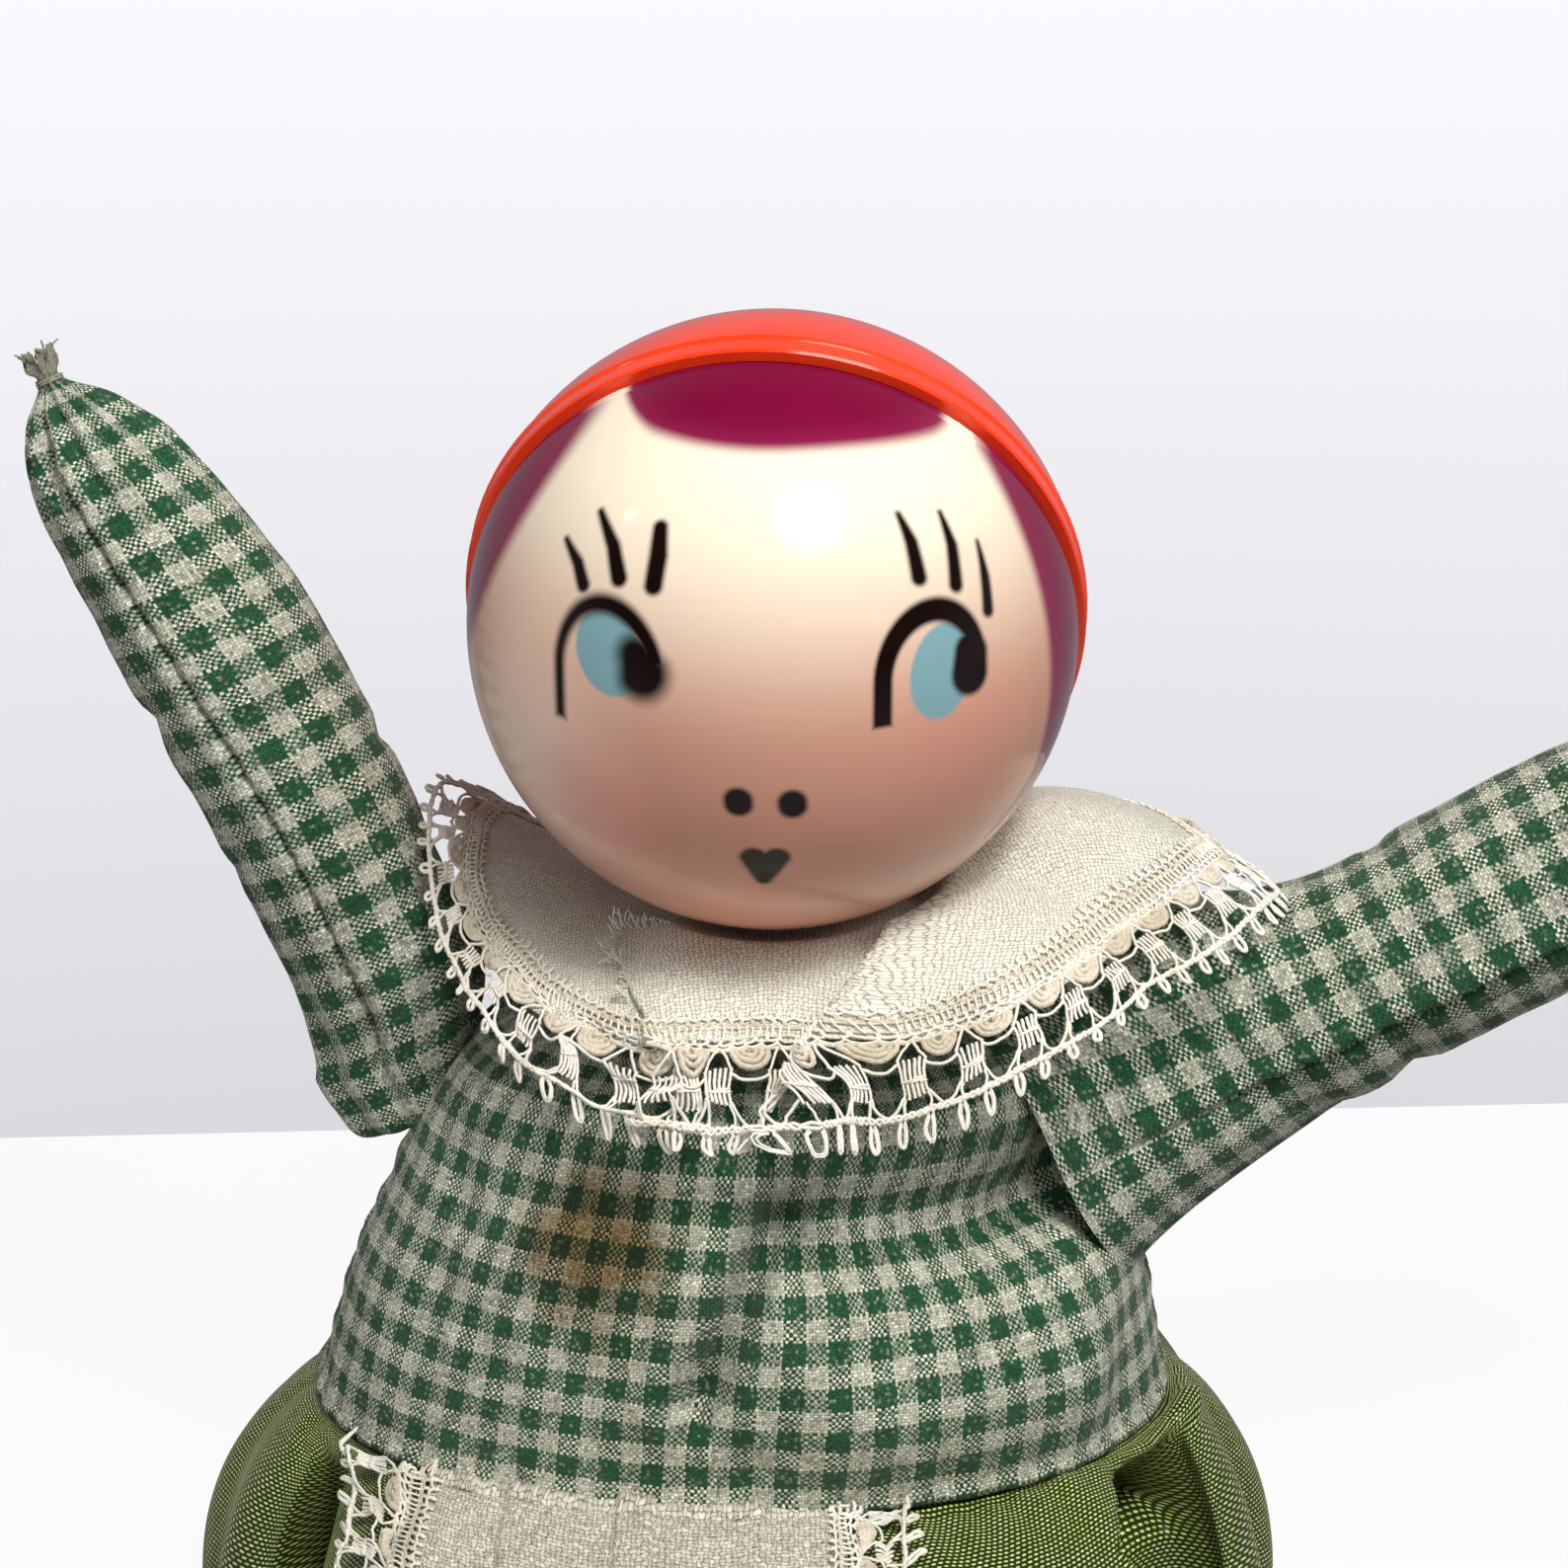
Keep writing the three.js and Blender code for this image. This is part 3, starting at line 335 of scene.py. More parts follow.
# %% Cream cotton and greyed cotton
cottons = {}
for name, spacing, light, dark, painted_gap_shade, rough, spread in (
    ("undyed cotton", 0.5, "#F8FAF0", "#ECECDE", 0.26, 0.85, 0.09),
    # The apron's darker grey colours and darker gaps are painted shade.
    ("greyed apron cotton", 0.62, "#EDE8DA", "#CBC4B3", 0.1, 0.45, 0.24),
):
    finish, tree, shader = new_finish(name, Roughness=rough, Sheen_Weight=0.15, Sheen_Roughness=0.4)
    crossing, number, on_top, height = plain_weave(tree, spacing, spacing)
    place = add_node(tree, "TexCoord").outputs["Object"]
    age = add_node(tree, "TexNoise", {"Vector": place, "Scale": 45.0, "Detail": 3.0})
    speckle = add_node(tree, "TexWhiteNoise", {"Vector": crossing}, noise_dimensions="2D")
    thread_color = add_node(tree, "Mix", {0: age, 6: hex_color(dark), 7: hex_color(light)}, data_type="RGBA")
    shade = add_node(tree, "MapRange", {"Value": height, "From Max": 0.7, "To Min": painted_gap_shade, "To Max": 1.0})
    uneven = add_node(tree, "MapRange", {"Value": speckle, "To Min": 0.97 - spread, "To Max": 0.97 + spread})
    depth = add_node(tree, "Math", {0: shade, 1: uneven}, operation="MULTIPLY")
    threads = add_node(tree, "Mix", {0: 1.0, 6: thread_color.outputs[2], 7: depth}, data_type="RGBA",
                       blend_type="MULTIPLY")
    tree.links.new(threads.outputs[2], shader.inputs["Base Color"])
    weave_bump = add_node(tree, "Bump", {"Height": height, "Strength": 0.5, "Distance": 0.00025})
    tree.links.new(weave_bump.outputs[0], shader.inputs["Normal"])
    cottons[name] = finish
cotton, apron_cotton = cottons.values()
print("cottons:", list(cottons))

# %% [markdown]
# ## Taffeta
# The skirt is a crisp filament weave with floats: short flat stretches of thread that lie on top, about
# 0.7 by 0.36 mm, in rows that are offset like bricks. Each float is painted a pale yellow-green over a
# deep olive ground: a painted glint, for the way it flashes in the light. The graph finds the brick that a
# point lies on, and how far it is from the middle of its float. Fine ribs run between them, drawn as
# painted shade in the ground's colour.

# %% Taffeta
taffeta, tree, shader = new_finish("green taffeta", Roughness=0.34, Sheen_Weight=0.2, Sheen_Roughness=0.35)
shader.inputs["Sheen Tint"].default_value = hex_color("#D6E29A")
FLOAT_PITCH = (0.9, 0.68)
cut = add_node(tree, "UVMap", uv_map="cut")
bricks = add_node(tree, "SeparateXYZ", {0: add_node(tree, "VectorMath", {
    0: cut, 1: (1 / FLOAT_PITCH[0], 1 / FLOAT_PITCH[1], 0)}, operation="MULTIPLY")}).outputs
row = add_node(tree, "Math", {0: bricks[1]}, operation="FLOOR")
odd = add_node(tree, "Math", {0: row, 1: 2.0}, operation="FLOORED_MODULO")
slid = add_node(tree, "Math", {0: odd, 1: 0.5, 2: bricks[0]}, operation="MULTIPLY_ADD")
along = add_node(tree, "Math", {0: add_node(tree, "Math", {0: slid}, operation="FRACT"), 1: 0.5},
                 operation="SUBTRACT")
across = add_node(tree, "Math", {0: add_node(tree, "Math", {0: bricks[1]}, operation="FRACT"), 1: 0.5},
                  operation="SUBTRACT")
oval = add_node(tree, "VectorMath",
                {0: add_node(tree, "CombineXYZ",
                             {0: add_node(tree, "Math", {0: along, 1: 2.7}, operation="MULTIPLY"),
                              1: add_node(tree, "Math", {0: across, 1: 3.8}, operation="MULTIPLY")})},
                operation="LENGTH").outputs["Value"]
flash = add_node(tree, "MapRange", {"Value": oval, "From Min": 1.1, "From Max": 0.7},
                 interpolation_type="SMOOTHSTEP")
place = add_node(tree, "TexCoord").outputs["Object"]
tone = add_node(tree, "TexNoise", {"Vector": place, "Scale": 40.0, "Detail": 2.0})
ground = add_node(tree, "Mix", {0: tone, 6: hex_color("#182B0A"), 7: hex_color("#304A14")}, data_type="RGBA")
# Painted shade in the troughs between the fine ribs.
ribs = add_node(tree, "Math",
                {0: add_node(tree, "Math", {0: bricks[0], 1: 8 * math.pi}, operation="MULTIPLY")},
                operation="SINE")
painted_rib_shade = add_node(tree, "MapRange", {"Value": ribs, "From Min": -1.0, "To Min": 0.72, "To Max": 1.05})
shaded = add_node(tree, "Mix", {0: 1.0, 6: ground.outputs[2], 7: painted_rib_shade}, data_type="RGBA",
                  blend_type="MULTIPLY")
each_float = add_node(tree, "CombineXYZ", {0: add_node(tree, "Math", {0: slid}, operation="FLOOR"), 1: row})
luck = add_node(tree, "TexWhiteNoise", {"Vector": each_float}, noise_dimensions="2D")
# Painted glint: each float is painted pale, for its flash in the light.
painted_glint = add_node(tree, "Mix", {0: luck, 6: hex_color("#B9CA66"), 7: hex_color("#EFF5B6")}, data_type="RGBA")
floats = add_node(tree, "Mix", {0: flash, 6: shaded.outputs[2], 7: painted_glint.outputs[2]}, data_type="RGBA")
tree.links.new(floats.outputs[2], shader.inputs["Base Color"])
float_bump = add_node(tree, "Bump", {"Height": flash, "Strength": 0.6, "Distance": 0.0003})
tree.links.new(float_bump.outputs[0], shader.inputs["Normal"])
print("taffeta nodes:", len(tree.nodes))

# %% [markdown]
# ## Threads
# The lace is cotton thread and the ties are grey sewing thread. Thread is a twist of fine fibres, so a
# small noise gives it a broken, hairy surface and an uneven colour.

# %% Lace thread and sewing thread
thread_finishes = {}
for name, light, dark in (
    ("white lace cotton", "#FBFAF5", "#E6E1D3"),
    ("unbleached lace cotton", "#ECE5D6", "#C6BBA3"),
    ("grey sewing thread", "#A3A294", "#6F6E62"),
):
    finish, tree, shader = new_finish(name, Roughness=0.8, Sheen_Weight=0.2, Sheen_Roughness=0.5)
    place = add_node(tree, "TexCoord").outputs["Object"]
    fibres = add_node(tree, "TexNoise", {"Vector": place, "Scale": 2600.0, "Detail": 2.0})
    age = add_node(tree, "TexNoise", {"Vector": place, "Scale": 90.0, "Detail": 2.0})
    both = add_node(tree, "Math", {0: fibres, 1: age}, operation="MULTIPLY")
    mixed_in = add_node(tree, "MapRange", {"Value": both, "From Min": 0.12, "From Max": 0.36})
    strands = add_node(tree, "Mix", {0: mixed_in, 6: hex_color(dark), 7: hex_color(light)}, data_type="RGBA")
    tree.links.new(strands.outputs[2], shader.inputs["Base Color"])
    twist = add_node(tree, "Bump", {"Height": fibres, "Strength": 0.6, "Distance": 0.00015})
    tree.links.new(twist.outputs[0], shader.inputs["Normal"])
    thread_finishes[name] = finish
lace_thread, old_thread, sewing_thread = thread_finishes.values()
print("threads:", list(thread_finishes))

# %% [markdown]
# ## Painted ivory plastic
# The face is one half of a moulded celluloid ball, sprayed with paint through masks. Paint like this
# could be a picture wrapped on the ball, but here each mark is measured on the ball itself, so it stays
# sharp at any size. The graph works in millimetres from the middle of the ball: X to the doll's left, Z
# up, and -Y out of the face. A brush stroke is a tapered line between two points of the ball. Its graph
# gives the distance to the edge of the paint, and a soft step over that distance is the sprayed edge.

# %% One brush stroke
FACE_R = 34.8
brush = bpy.data.node_groups.new("brush stroke", "ShaderNodeTree")
for name in ("Point", "From", "To"):
    brush.interface.new_socket(name, in_out="INPUT", socket_type="NodeSocketVector")
for name in ("Width", "Last"):
    brush.interface.new_socket(name, in_out="INPUT", socket_type="NodeSocketFloat")
brush.interface.new_socket("Distance", in_out="OUTPUT", socket_type="NodeSocketFloat")
given = brush.nodes.new("NodeGroupInput").outputs
line = add_node(brush, "VectorMath", {0: given["To"], 1: given["From"]}, operation="SUBTRACT")
reach = add_node(brush, "VectorMath", {0: given["Point"], 1: given["From"]}, operation="SUBTRACT")
over = add_node(brush, "VectorMath", {0: reach, 1: line}, operation="DOT_PRODUCT").outputs["Value"]
full = add_node(brush, "VectorMath", {0: line, 1: line}, operation="DOT_PRODUCT").outputs["Value"]
share = add_node(brush, "Math", {0: over, 1: full}, operation="DIVIDE", use_clamp=True)
nearest = add_node(brush, "VectorMath", {0: line, "Scale": share.outputs[0]}, operation="SCALE")
apart = add_node(brush, "VectorMath", {0: reach, 1: nearest}, operation="DISTANCE").outputs["Value"]
half_width = add_node(brush, "Mix", {0: share, 2: given["Width"], 3: given["Last"]})
gap = add_node(brush, "Math", {0: apart, 1: half_width}, operation="SUBTRACT")
add_node(brush, "NodeGroupOutput", {"Distance": gap})
print("brush stroke nodes:", len(brush.nodes))


# %% Strokes on the ball
def on_ball(x, z):
    return (x, -math.sqrt(max(FACE_R**2 - x * x - z * z, 0)), z)


def painted(tree, point, lines):
    """Distance to the nearest of some painted lines, each a row of (x, z, half width) on the ball."""
    nearest = None
    for row in lines:
        for (x0, z0, w0), (x1, z1, w1) in zip(row, row[1:]):
            stroke = add_node(tree, "Group", node_tree=brush)
            ends = {"From": on_ball(x0, z0), "To": on_ball(x1, z1), "Width": w0, "Last": w1}
            for key, value in ends.items():
                stroke.inputs[key].default_value = value
            tree.links.new(point, stroke.inputs["Point"])
            nearest = stroke if nearest is None else add_node(
                tree, "Math", {0: nearest, 1: stroke}, operation="MINIMUM")
    return nearest


def sprayed(tree, distance, soft, most=1.0):
    """1 inside the paint and 0 outside it, over a soft edge in millimetres."""
    return add_node(tree, "MapRange",
                    {"Value": distance, "From Min": soft, "From Max": -soft, "To Max": most},
                    interpolation_type="SMOOTHSTEP")


def arch(tree, x, z, middle, radii, skew, legs, widths, hook):
    """Distance to a painted arch with legs that end at their own heights. A hook turns the second leg in."""
    off = add_node(tree, "Math", {0: x, 1: middle[0]}, operation="SUBTRACT")
    aslant = add_node(tree, "Math", {0: off, 1: -skew, 2: z}, operation="MULTIPLY_ADD")
    lowest = add_node(tree, "MapRange", {"Value": off, "From Min": 0.0, "From Max": 0.1, "To Max": -hook})
    rise = add_node(tree, "Math", {0: add_node(tree, "Math", {0: aslant, 1: middle[1]}, operation="SUBTRACT"),
                                   1: lowest}, operation="MAXIMUM")
    round_it = add_node(tree, "CombineXYZ",
                        {0: add_node(tree, "Math", {0: off, 1: radii[0]}, operation="DIVIDE"),
                         1: add_node(tree, "Math", {0: rise, 1: radii[1]}, operation="DIVIDE")})
    ring = add_node(tree, "VectorMath", {0: round_it}, operation="LENGTH").outputs["Value"]
    apart = add_node(tree, "Math", {0: add_node(tree, "Math", {0: ring, 1: 1.0}, operation="SUBTRACT")},
                     operation="ABSOLUTE")
    wide = add_node(tree, "MapRange",
                    {"Value": off, "From Min": -radii[0], "From Max": radii[0], "To Min": widths[0],
                     "To Max": widths[1]})
    line = add_node(tree, "Math",
                    {0: add_node(tree, "Math", {0: apart, 1: radii[0] * 1.1}, operation="MULTIPLY"),
                     1: wide}, operation="SUBTRACT")
    foot = add_node(tree, "MapRange", {"Value": off, "From Min": -1.0, "From Max": 1.0, "To Min": legs[0],
                                       "To Max": legs[1]})
    below = add_node(tree, "Math", {0: foot, 1: z}, operation="SUBTRACT")
    return add_node(tree, "Math", {0: line, 1: below}, operation="MAXIMUM")


# %% Marks of the face
LASHES = [
    [(-21.3, 20.2, 0.4), (-20.0, 18.8, 0.75), (-19.4, 17.2, 0.85)],
    [(-17.6, 23.4, 0.45), (-16.2, 21.2, 0.85), (-15.6, 18.8, 1.0)],
    [(-11.3, 23.6, 0.85), (-11.5, 21.4, 1.05), (-12.0, 18.9, 1.05)],
    [(12.9, 24.3, 0.4), (14.2, 22.0, 0.8), (15.0, 19.0, 0.95)],
    [(17.3, 23.4, 0.35), (18.5, 20.7, 0.75), (18.9, 17.4, 0.9)],
    [(21.3, 20.0, 0.3), (22.1, 16.9, 0.7), (22.4, 14.0, 0.8)],
]
SNUB = [[(-3.5, -1.8, 1.55), (-3.45, -2.3, 1.55)], [(2.1, -2.0, 1.55), (2.15, -2.5, 1.55)]]
HEART = [[(-1.95, -9.7, 1.5), (-0.9, -13.3, 0.9)], [(0.45, -9.7, 1.5), (-0.9, -13.3, 0.9)],
         [(-0.75, -10.3, 1.5), (-0.85, -12.4, 1.3)]]
print("lashes:", len(LASHES))

# %% Ivory plastic with its paint, painted shade and painted light
ivory, tree, shader = new_finish("painted ivory celluloid", Roughness=0.16, IOR=1.38, Coat_Weight=0.1,
                                 Coat_Roughness=0.08)
place = add_node(tree, "TexCoord").outputs["Object"]
on_head = add_node(tree, "Mapping", {"Vector": place, "Location": tuple(HEAD),
                                     "Rotation": (HEAD_TILT, 0, 0), "Scale": (MM, MM, MM)},
                   vector_type="TEXTURE").outputs[0]
axes = add_node(tree, "SeparateXYZ", {0: on_head}).outputs
clouds = add_node(tree, "TexNoise", {"Vector": place, "Scale": 30.0, "Detail": 3.0})
# Darker and pinker towards the bottom: partly blush paint, partly painted shade where the lower face gets
# less light.
lower = add_node(tree, "MapRange", {"Value": axes["Z"], "From Min": 27.0, "From Max": 2.0},
                 interpolation_type="SMOOTHSTEP")
color = add_node(tree, "Mix", {0: lower, 6: hex_color("#F4E9D6"), 7: hex_color("#D09D89")}, data_type="RGBA")
# Soft puffs of colour. The doll's left cheek and the middle of the face are blush paint. The pale puff at the
# doll's right edge is painted light, and the doll's right cheek and the chin are blush paint made lighter
# with painted light. The orange puff at the bottom edge is a painted glow from the orange cap, seen through
# the ball and reflected in it.
for (x, z), radius, tint, most in (((-27, -2), 20, "#FFE4D4", 0.98), ((-18, -6), 12, "#F6A598", 0.55),
                                   ((19, -2), 18, "#D89284", 0.5),
                                   ((-1, -8), 20, "#D98F7F", 0.3), ((-2, -24), 19, "#FFB096", 0.8),
                                   ((9, -31), 15, "#FF8A48", 0.9)):
    away = add_node(tree, "VectorMath", {0: on_head, 1: on_ball(x, z)}, operation="DISTANCE")
    puff = add_node(tree, "MapRange", {"Value": away.outputs["Value"], "From Min": radius, "From Max": 0.0,
                                       "To Max": most}, interpolation_type="SMOOTHSTEP")
    color = add_node(tree, "Mix", {0: puff, 6: color.outputs[2], 7: hex_color(tint)}, data_type="RGBA")
print("ivory nodes so far:", len(tree.nodes))

# %% Painted hair
fringe_bend = add_node(tree, "Math", {0: axes["X"], 1: -2.0}, operation="ADD")
bend_part = add_node(tree, "Math", {0: fringe_bend, 1: 0.0}, operation="MAXIMUM")
bent = add_node(tree, "Math", {0: bend_part, 1: bend_part}, operation="MULTIPLY")
fringe_line = add_node(tree, "Math", {0: bent, 1: -0.006, 2: 29.8}, operation="MULTIPLY_ADD")
for side, corner, curl in ((-1.0, 12.0, 0.07), (1.0, 16.5, 0.075)):
    past = add_node(tree, "Math", {0: axes["X"], 1: side, 2: -corner}, operation="MULTIPLY_ADD")
    past = add_node(tree, "Math", {0: past, 1: 0.0}, operation="MAXIMUM")
    turned_up = add_node(tree, "Math", {0: past, 1: past}, operation="MULTIPLY")
    fringe_line = add_node(tree, "Math", {0: turned_up, 1: curl, 2: fringe_line}, operation="MULTIPLY_ADD")
fringe = add_node(tree, "Math", {0: fringe_line, 1: axes["Z"]}, operation="SUBTRACT")
flat = add_node(tree, "VectorMath", {0: on_head, 1: (1, 0, 1)}, operation="MULTIPLY")
locks = []
for (x, z), radius, side in (((20.4, -10.8), 55.6, -1), ((-10.4, 1.5), 40.4, 1)):
    away = add_node(tree, "VectorMath", {0: flat, 1: (x, 0, z)}, operation="DISTANCE")
    outside = add_node(tree, "Math", {0: radius, 1: away.outputs["Value"]}, operation="SUBTRACT")
    other_side = add_node(tree, "Math", {0: axes["X"], 1: -side * 4.0}, operation="MULTIPLY")
    locks.append(add_node(tree, "Math", {0: outside, 1: other_side}, operation="MAXIMUM"))
below = add_node(tree, "Math", {0: -16.0, 1: axes["Z"]}, operation="SUBTRACT")
locks[1] = add_node(tree, "Math", {0: locks[1], 1: below}, operation="MAXIMUM")
side_tip = painted(tree, on_head, [[(29.6, -9.0, 2.0), (23.8, -15.6, 0.5)]])
hair_edge = side_tip
for part in (fringe, *locks):
    hair_edge = add_node(tree, "Math", {0: hair_edge, 1: part}, operation="MINIMUM")
parting = painted(tree, on_head, [[(21.9, 28.4, 1.2), (20.2, 26.4, 1.5)]])
parted = add_node(tree, "Math",
                  {0: hair_edge, 1: add_node(tree, "Math", {0: parting, 1: -1.0}, operation="MULTIPLY")},
                  operation="MAXIMUM")
hair = sprayed(tree, parted, 0.55)
plum = add_node(tree, "Mix",
                {0: sprayed(tree, parted, 2.2), 6: hex_color("#9C2C60"), 7: hex_color("#760A36")},
                data_type="RGBA")
color = add_node(tree, "Mix", {0: hair, 6: color.outputs[2], 7: plum.outputs[2]}, data_type="RGBA")
print("ivory nodes with hair:", len(tree.nodes))

# %% Painted eyes, nose and mouth
iris = None
for (x, z), (wide, high) in (((-16.7, 11.8), (3.5, 4.1)), ((17.4, 9.8), (3.3, 4.7))):
    away = add_node(tree, "VectorMath", {0: flat, 1: (x, 0, z)}, operation="SUBTRACT")
    round_it = add_node(tree, "VectorMath", {0: away, 1: (1 / wide, 0, 1 / high)}, operation="MULTIPLY")
    oval = add_node(tree, "VectorMath", {0: round_it}, operation="LENGTH").outputs["Value"]
    edge = add_node(tree, "Math", {0: oval, 1: wide, 2: -wide}, operation="MULTIPLY_ADD")
    iris = edge if iris is None else add_node(tree, "Math", {0: iris, 1: edge}, operation="MINIMUM")
in_front = add_node(tree, "Math", {0: axes["Y"], 1: 0.0}, operation="LESS_THAN")
blue = add_node(tree, "Math", {0: sprayed(tree, iris, 0.25), 1: in_front}, operation="MULTIPLY")
color = add_node(tree, "Mix", {0: blue, 6: color.outputs[2], 7: hex_color("#7FA9B4")}, data_type="RGBA")
soft_pupil = painted(tree, on_head, [[(-13.9, 12.4, 2.2), (-13.2, 10.8, 3.0)]])
crisp_pupil = painted(tree, on_head, [[(20.6, 10.8, 2.2), (20.5, 8.8, 2.4)]])
pupils = add_node(tree, "Math", {0: sprayed(tree, soft_pupil, 1.2), 1: sprayed(tree, crisp_pupil, 0.5)},
                  operation="MAXIMUM")
lines = painted(tree, on_head, LASHES)
left_arch = arch(tree, axes["X"], axes["Z"], (-16.8, 9.3), (5.3, 7.0), 0.05, (3.5, 11.6), (0.6, 0.95), 9.0)
right_arch = arch(tree, axes["X"], axes["Z"], (16.4, 9.6), (5.1, 6.3), -0.1, (5.6, 9.6), (1.1, 0.9), 9.0)
marks = painted(tree, on_head, [*SNUB, *HEART])
arches = add_node(tree, "Math", {0: sprayed(tree, left_arch, 0.5), 1: sprayed(tree, right_arch, 0.35)},
                  operation="MAXIMUM")
arches = add_node(tree, "Math", {0: arches, 1: in_front}, operation="MULTIPLY")
dark = add_node(tree, "Math", {0: pupils, 1: sprayed(tree, lines, 0.42)}, operation="MAXIMUM")
dark = add_node(tree, "Math", {0: dark, 1: arches}, operation="MAXIMUM")
dark = add_node(tree, "Math", {0: dark, 1: sprayed(tree, marks, 0.45)}, operation="MAXIMUM")
color = add_node(tree, "Mix", {0: dark, 6: color.outputs[2], 7: hex_color("#170B0A")}, data_type="RGBA")
tree.links.new(color.outputs[2], shader.inputs["Base Color"])
scuffs = add_node(tree, "MapRange", {"Value": clouds, "From Min": 0.35, "From Max": 0.75, "To Min": 0.12,
                                     "To Max": 0.24})
tree.links.new(scuffs.outputs[0], shader.inputs["Roughness"])
ripple = add_node(tree, "Bump", {"Height": clouds, "Strength": 0.08, "Distance": 0.0006})
tree.links.new(ripple.outputs[0], shader.inputs["Normal"])
print("ivory nodes:", len(tree.nodes))

# %% [markdown]
# ## Plain moulded plastics
# The back of the ball is the same celluloid, dyed orange-red all through, with a high polish. The spool
# and the pellets are plain moulded plastic. A little noise in the roughness stands for handling.

# %% Orange, spool and pellet plastic
plastics = {}
for name, light, dark, rough, coat in (
    ("orange celluloid", "#FF4A22", "#F2330F", 0.14, 0.3),
    ("spool plastic", "#ECE5D6", "#DDD3C0", 0.4, 0.0),
    ("pellet plastic", "#DCCB9F", "#CDB988", 0.5, 0.0),
):
    finish, tree, shader = new_finish(name, IOR=1.5, Coat_Weight=coat, Coat_Roughness=0.06)
    place = add_node(tree, "TexCoord").outputs["Object"]
    clouds = add_node(tree, "TexNoise", {"Vector": place, "Scale": 60.0, "Detail": 4.0})
    tint = add_node(tree, "Mix", {0: clouds, 6: hex_color(dark), 7: hex_color(light)}, data_type="RGBA")
    tree.links.new(tint.outputs[2], shader.inputs["Base Color"])
    handled = add_node(tree, "MapRange", {"Value": clouds, "To Min": rough * 0.7, "To Max": rough * 1.5})
    tree.links.new(handled.outputs[0], shader.inputs["Roughness"])
    plastics[name] = finish
orange, spool_plastic, pellet_plastic = plastics.values()
print("plastics:", list(plastics))

# %% [markdown]
# ## Making pieces
# A rigid round part is half an outline, spun about its axis as on a lathe. A cloth part starts as a flat
# grid, whose points are then bent into place by a formula, while its map keeps the flat cut in
# millimetres. Every piece then gets its finish. Most pieces ride on the body of the frame that they move
# with; the sewn arms and the collar stay where they are made.


# %% Helpers for pieces
def smooth(x):
    x = np.clip(x, 0, 1)
    return x * x * (3 - 2 * x)


def bump(x, width):
    """A smooth hump that is 1 at x = 0 and fades over a width to both sides."""
    return np.exp(-(x / width) ** 2)


def run_along(line):
    """Distances along a row of points, from its start."""
    return np.concatenate([[0], np.cumsum(np.linalg.norm(np.diff(line, axis=0), axis=1))])


def spline(points, t):
    """Points of a smooth curve through some points, at shares t of its spans."""
    points = np.asarray(points, float)
    ends = np.vstack([2 * points[0] - points[1], points, 2 * points[-1] - points[-2]])
    spot = np.clip(np.asarray(t, float), 0, 1) * (len(points) - 1)
    first = np.minimum(spot.astype(int), len(points) - 2)
    w = (spot - first)[..., None]
    p0, p1, p2, p3 = (ends[first + k] for k in range(4))
    d0, d1, d2 = (np.maximum(np.sum((a - b) ** 2, -1, keepdims=True) ** 0.25, 1e-4)
                  for a, b in ((p0, p1), (p1, p2), (p2, p3)))
    m1 = d1 * ((p1 - p0) / d0 - (p2 - p0) / (d0 + d1) + (p2 - p1) / d1)
    m2 = d1 * ((p2 - p1) / d1 - (p3 - p1) / (d1 + d2) + (p3 - p2) / d2)
    return p1 + w * (m1 + w * (-3 * p1 + 3 * p2 - 2 * m1 - m2 + w * (2 * p1 - 2 * p2 + m1 + m2)))


def lumps(points, size, seed=0.0):
    """Smooth uneven heights from -1 to 1 at some points in millimetres, in lumps of about that size."""
    return np.array([noise.noise(Vector(p) / size + Vector((seed, 2.7 * seed, 0))) for p in points])


def lifted(surface, u, v, height, inside):
    """Points above a surface of (u, v), on the side that points away from inside."""
    step = 1e-3
    along_u = surface(u + step, v) - surface(u - step, v)
    along_v = surface(u, v + step) - surface(u, v - step)
    normal = np.cross(along_u, along_v)
    normal /= np.maximum(np.linalg.norm(normal, axis=-1, keepdims=True), 1e-9)
    spot = surface(u, v)
    side = np.sign(np.sum(normal * (spot - inside(spot)), -1, keepdims=True))
    return spot + normal * side * np.asarray(height)[..., None]


# %% Cloth grids and pieces
def cloth_grid(across, along, place, cut):
    """A flat grid bent into place. From shares u and v, place gives millimetres and cut the flat pattern."""
    bm = bmesh.new()
    layer = bm.loops.layers.uv.new("cut")
    bmesh.ops.create_grid(bm, x_segments=across, y_segments=along, size=1, calc_uvs=True)
    shares = np.array([v.co[:2] for v in bm.verts]) / 2 + 0.5
    spots = place(shares[:, 0], shares[:, 1]) * MM
    flat = cut(shares[:, 0], shares[:, 1])
    for vert, spot, uv in zip(bm.verts, spots, flat):
        for loop in vert.link_loops:
            loop[layer].uv = uv
        vert.co = spot
    bmesh.ops.remove_doubles(bm, verts=bm.verts, dist=1e-6)
    return bm


def new_piece(bm, name, finish, replaces, sharp=180):
    """A mesh object at the origin, from a bmesh, with its finish and the nodes that it stands for."""
    mesh = bpy.data.meshes.new(name)
    bm.to_mesh(mesh)
    bm.free()
    for one in finish if isinstance(finish, list) else [finish]:
        mesh.materials.append(one)
    mesh.shade_smooth()
    if sharp < 180:
        mesh.set_sharp_from_angle(angle=math.radians(sharp))
    piece = bpy.data.objects.new(name, mesh)
    scene.collection.objects.link(piece)
    if replaces:
        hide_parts(*replaces)
    print(f"{name}: {len(mesh.polygons)} faces")
    return piece


CLOTH_THICK = 0.4


def add_thickness(piece):
    wall = piece.modifiers.new("thickness", "SOLIDIFY")
    wall.thickness, wall.offset = CLOTH_THICK * MM, 0


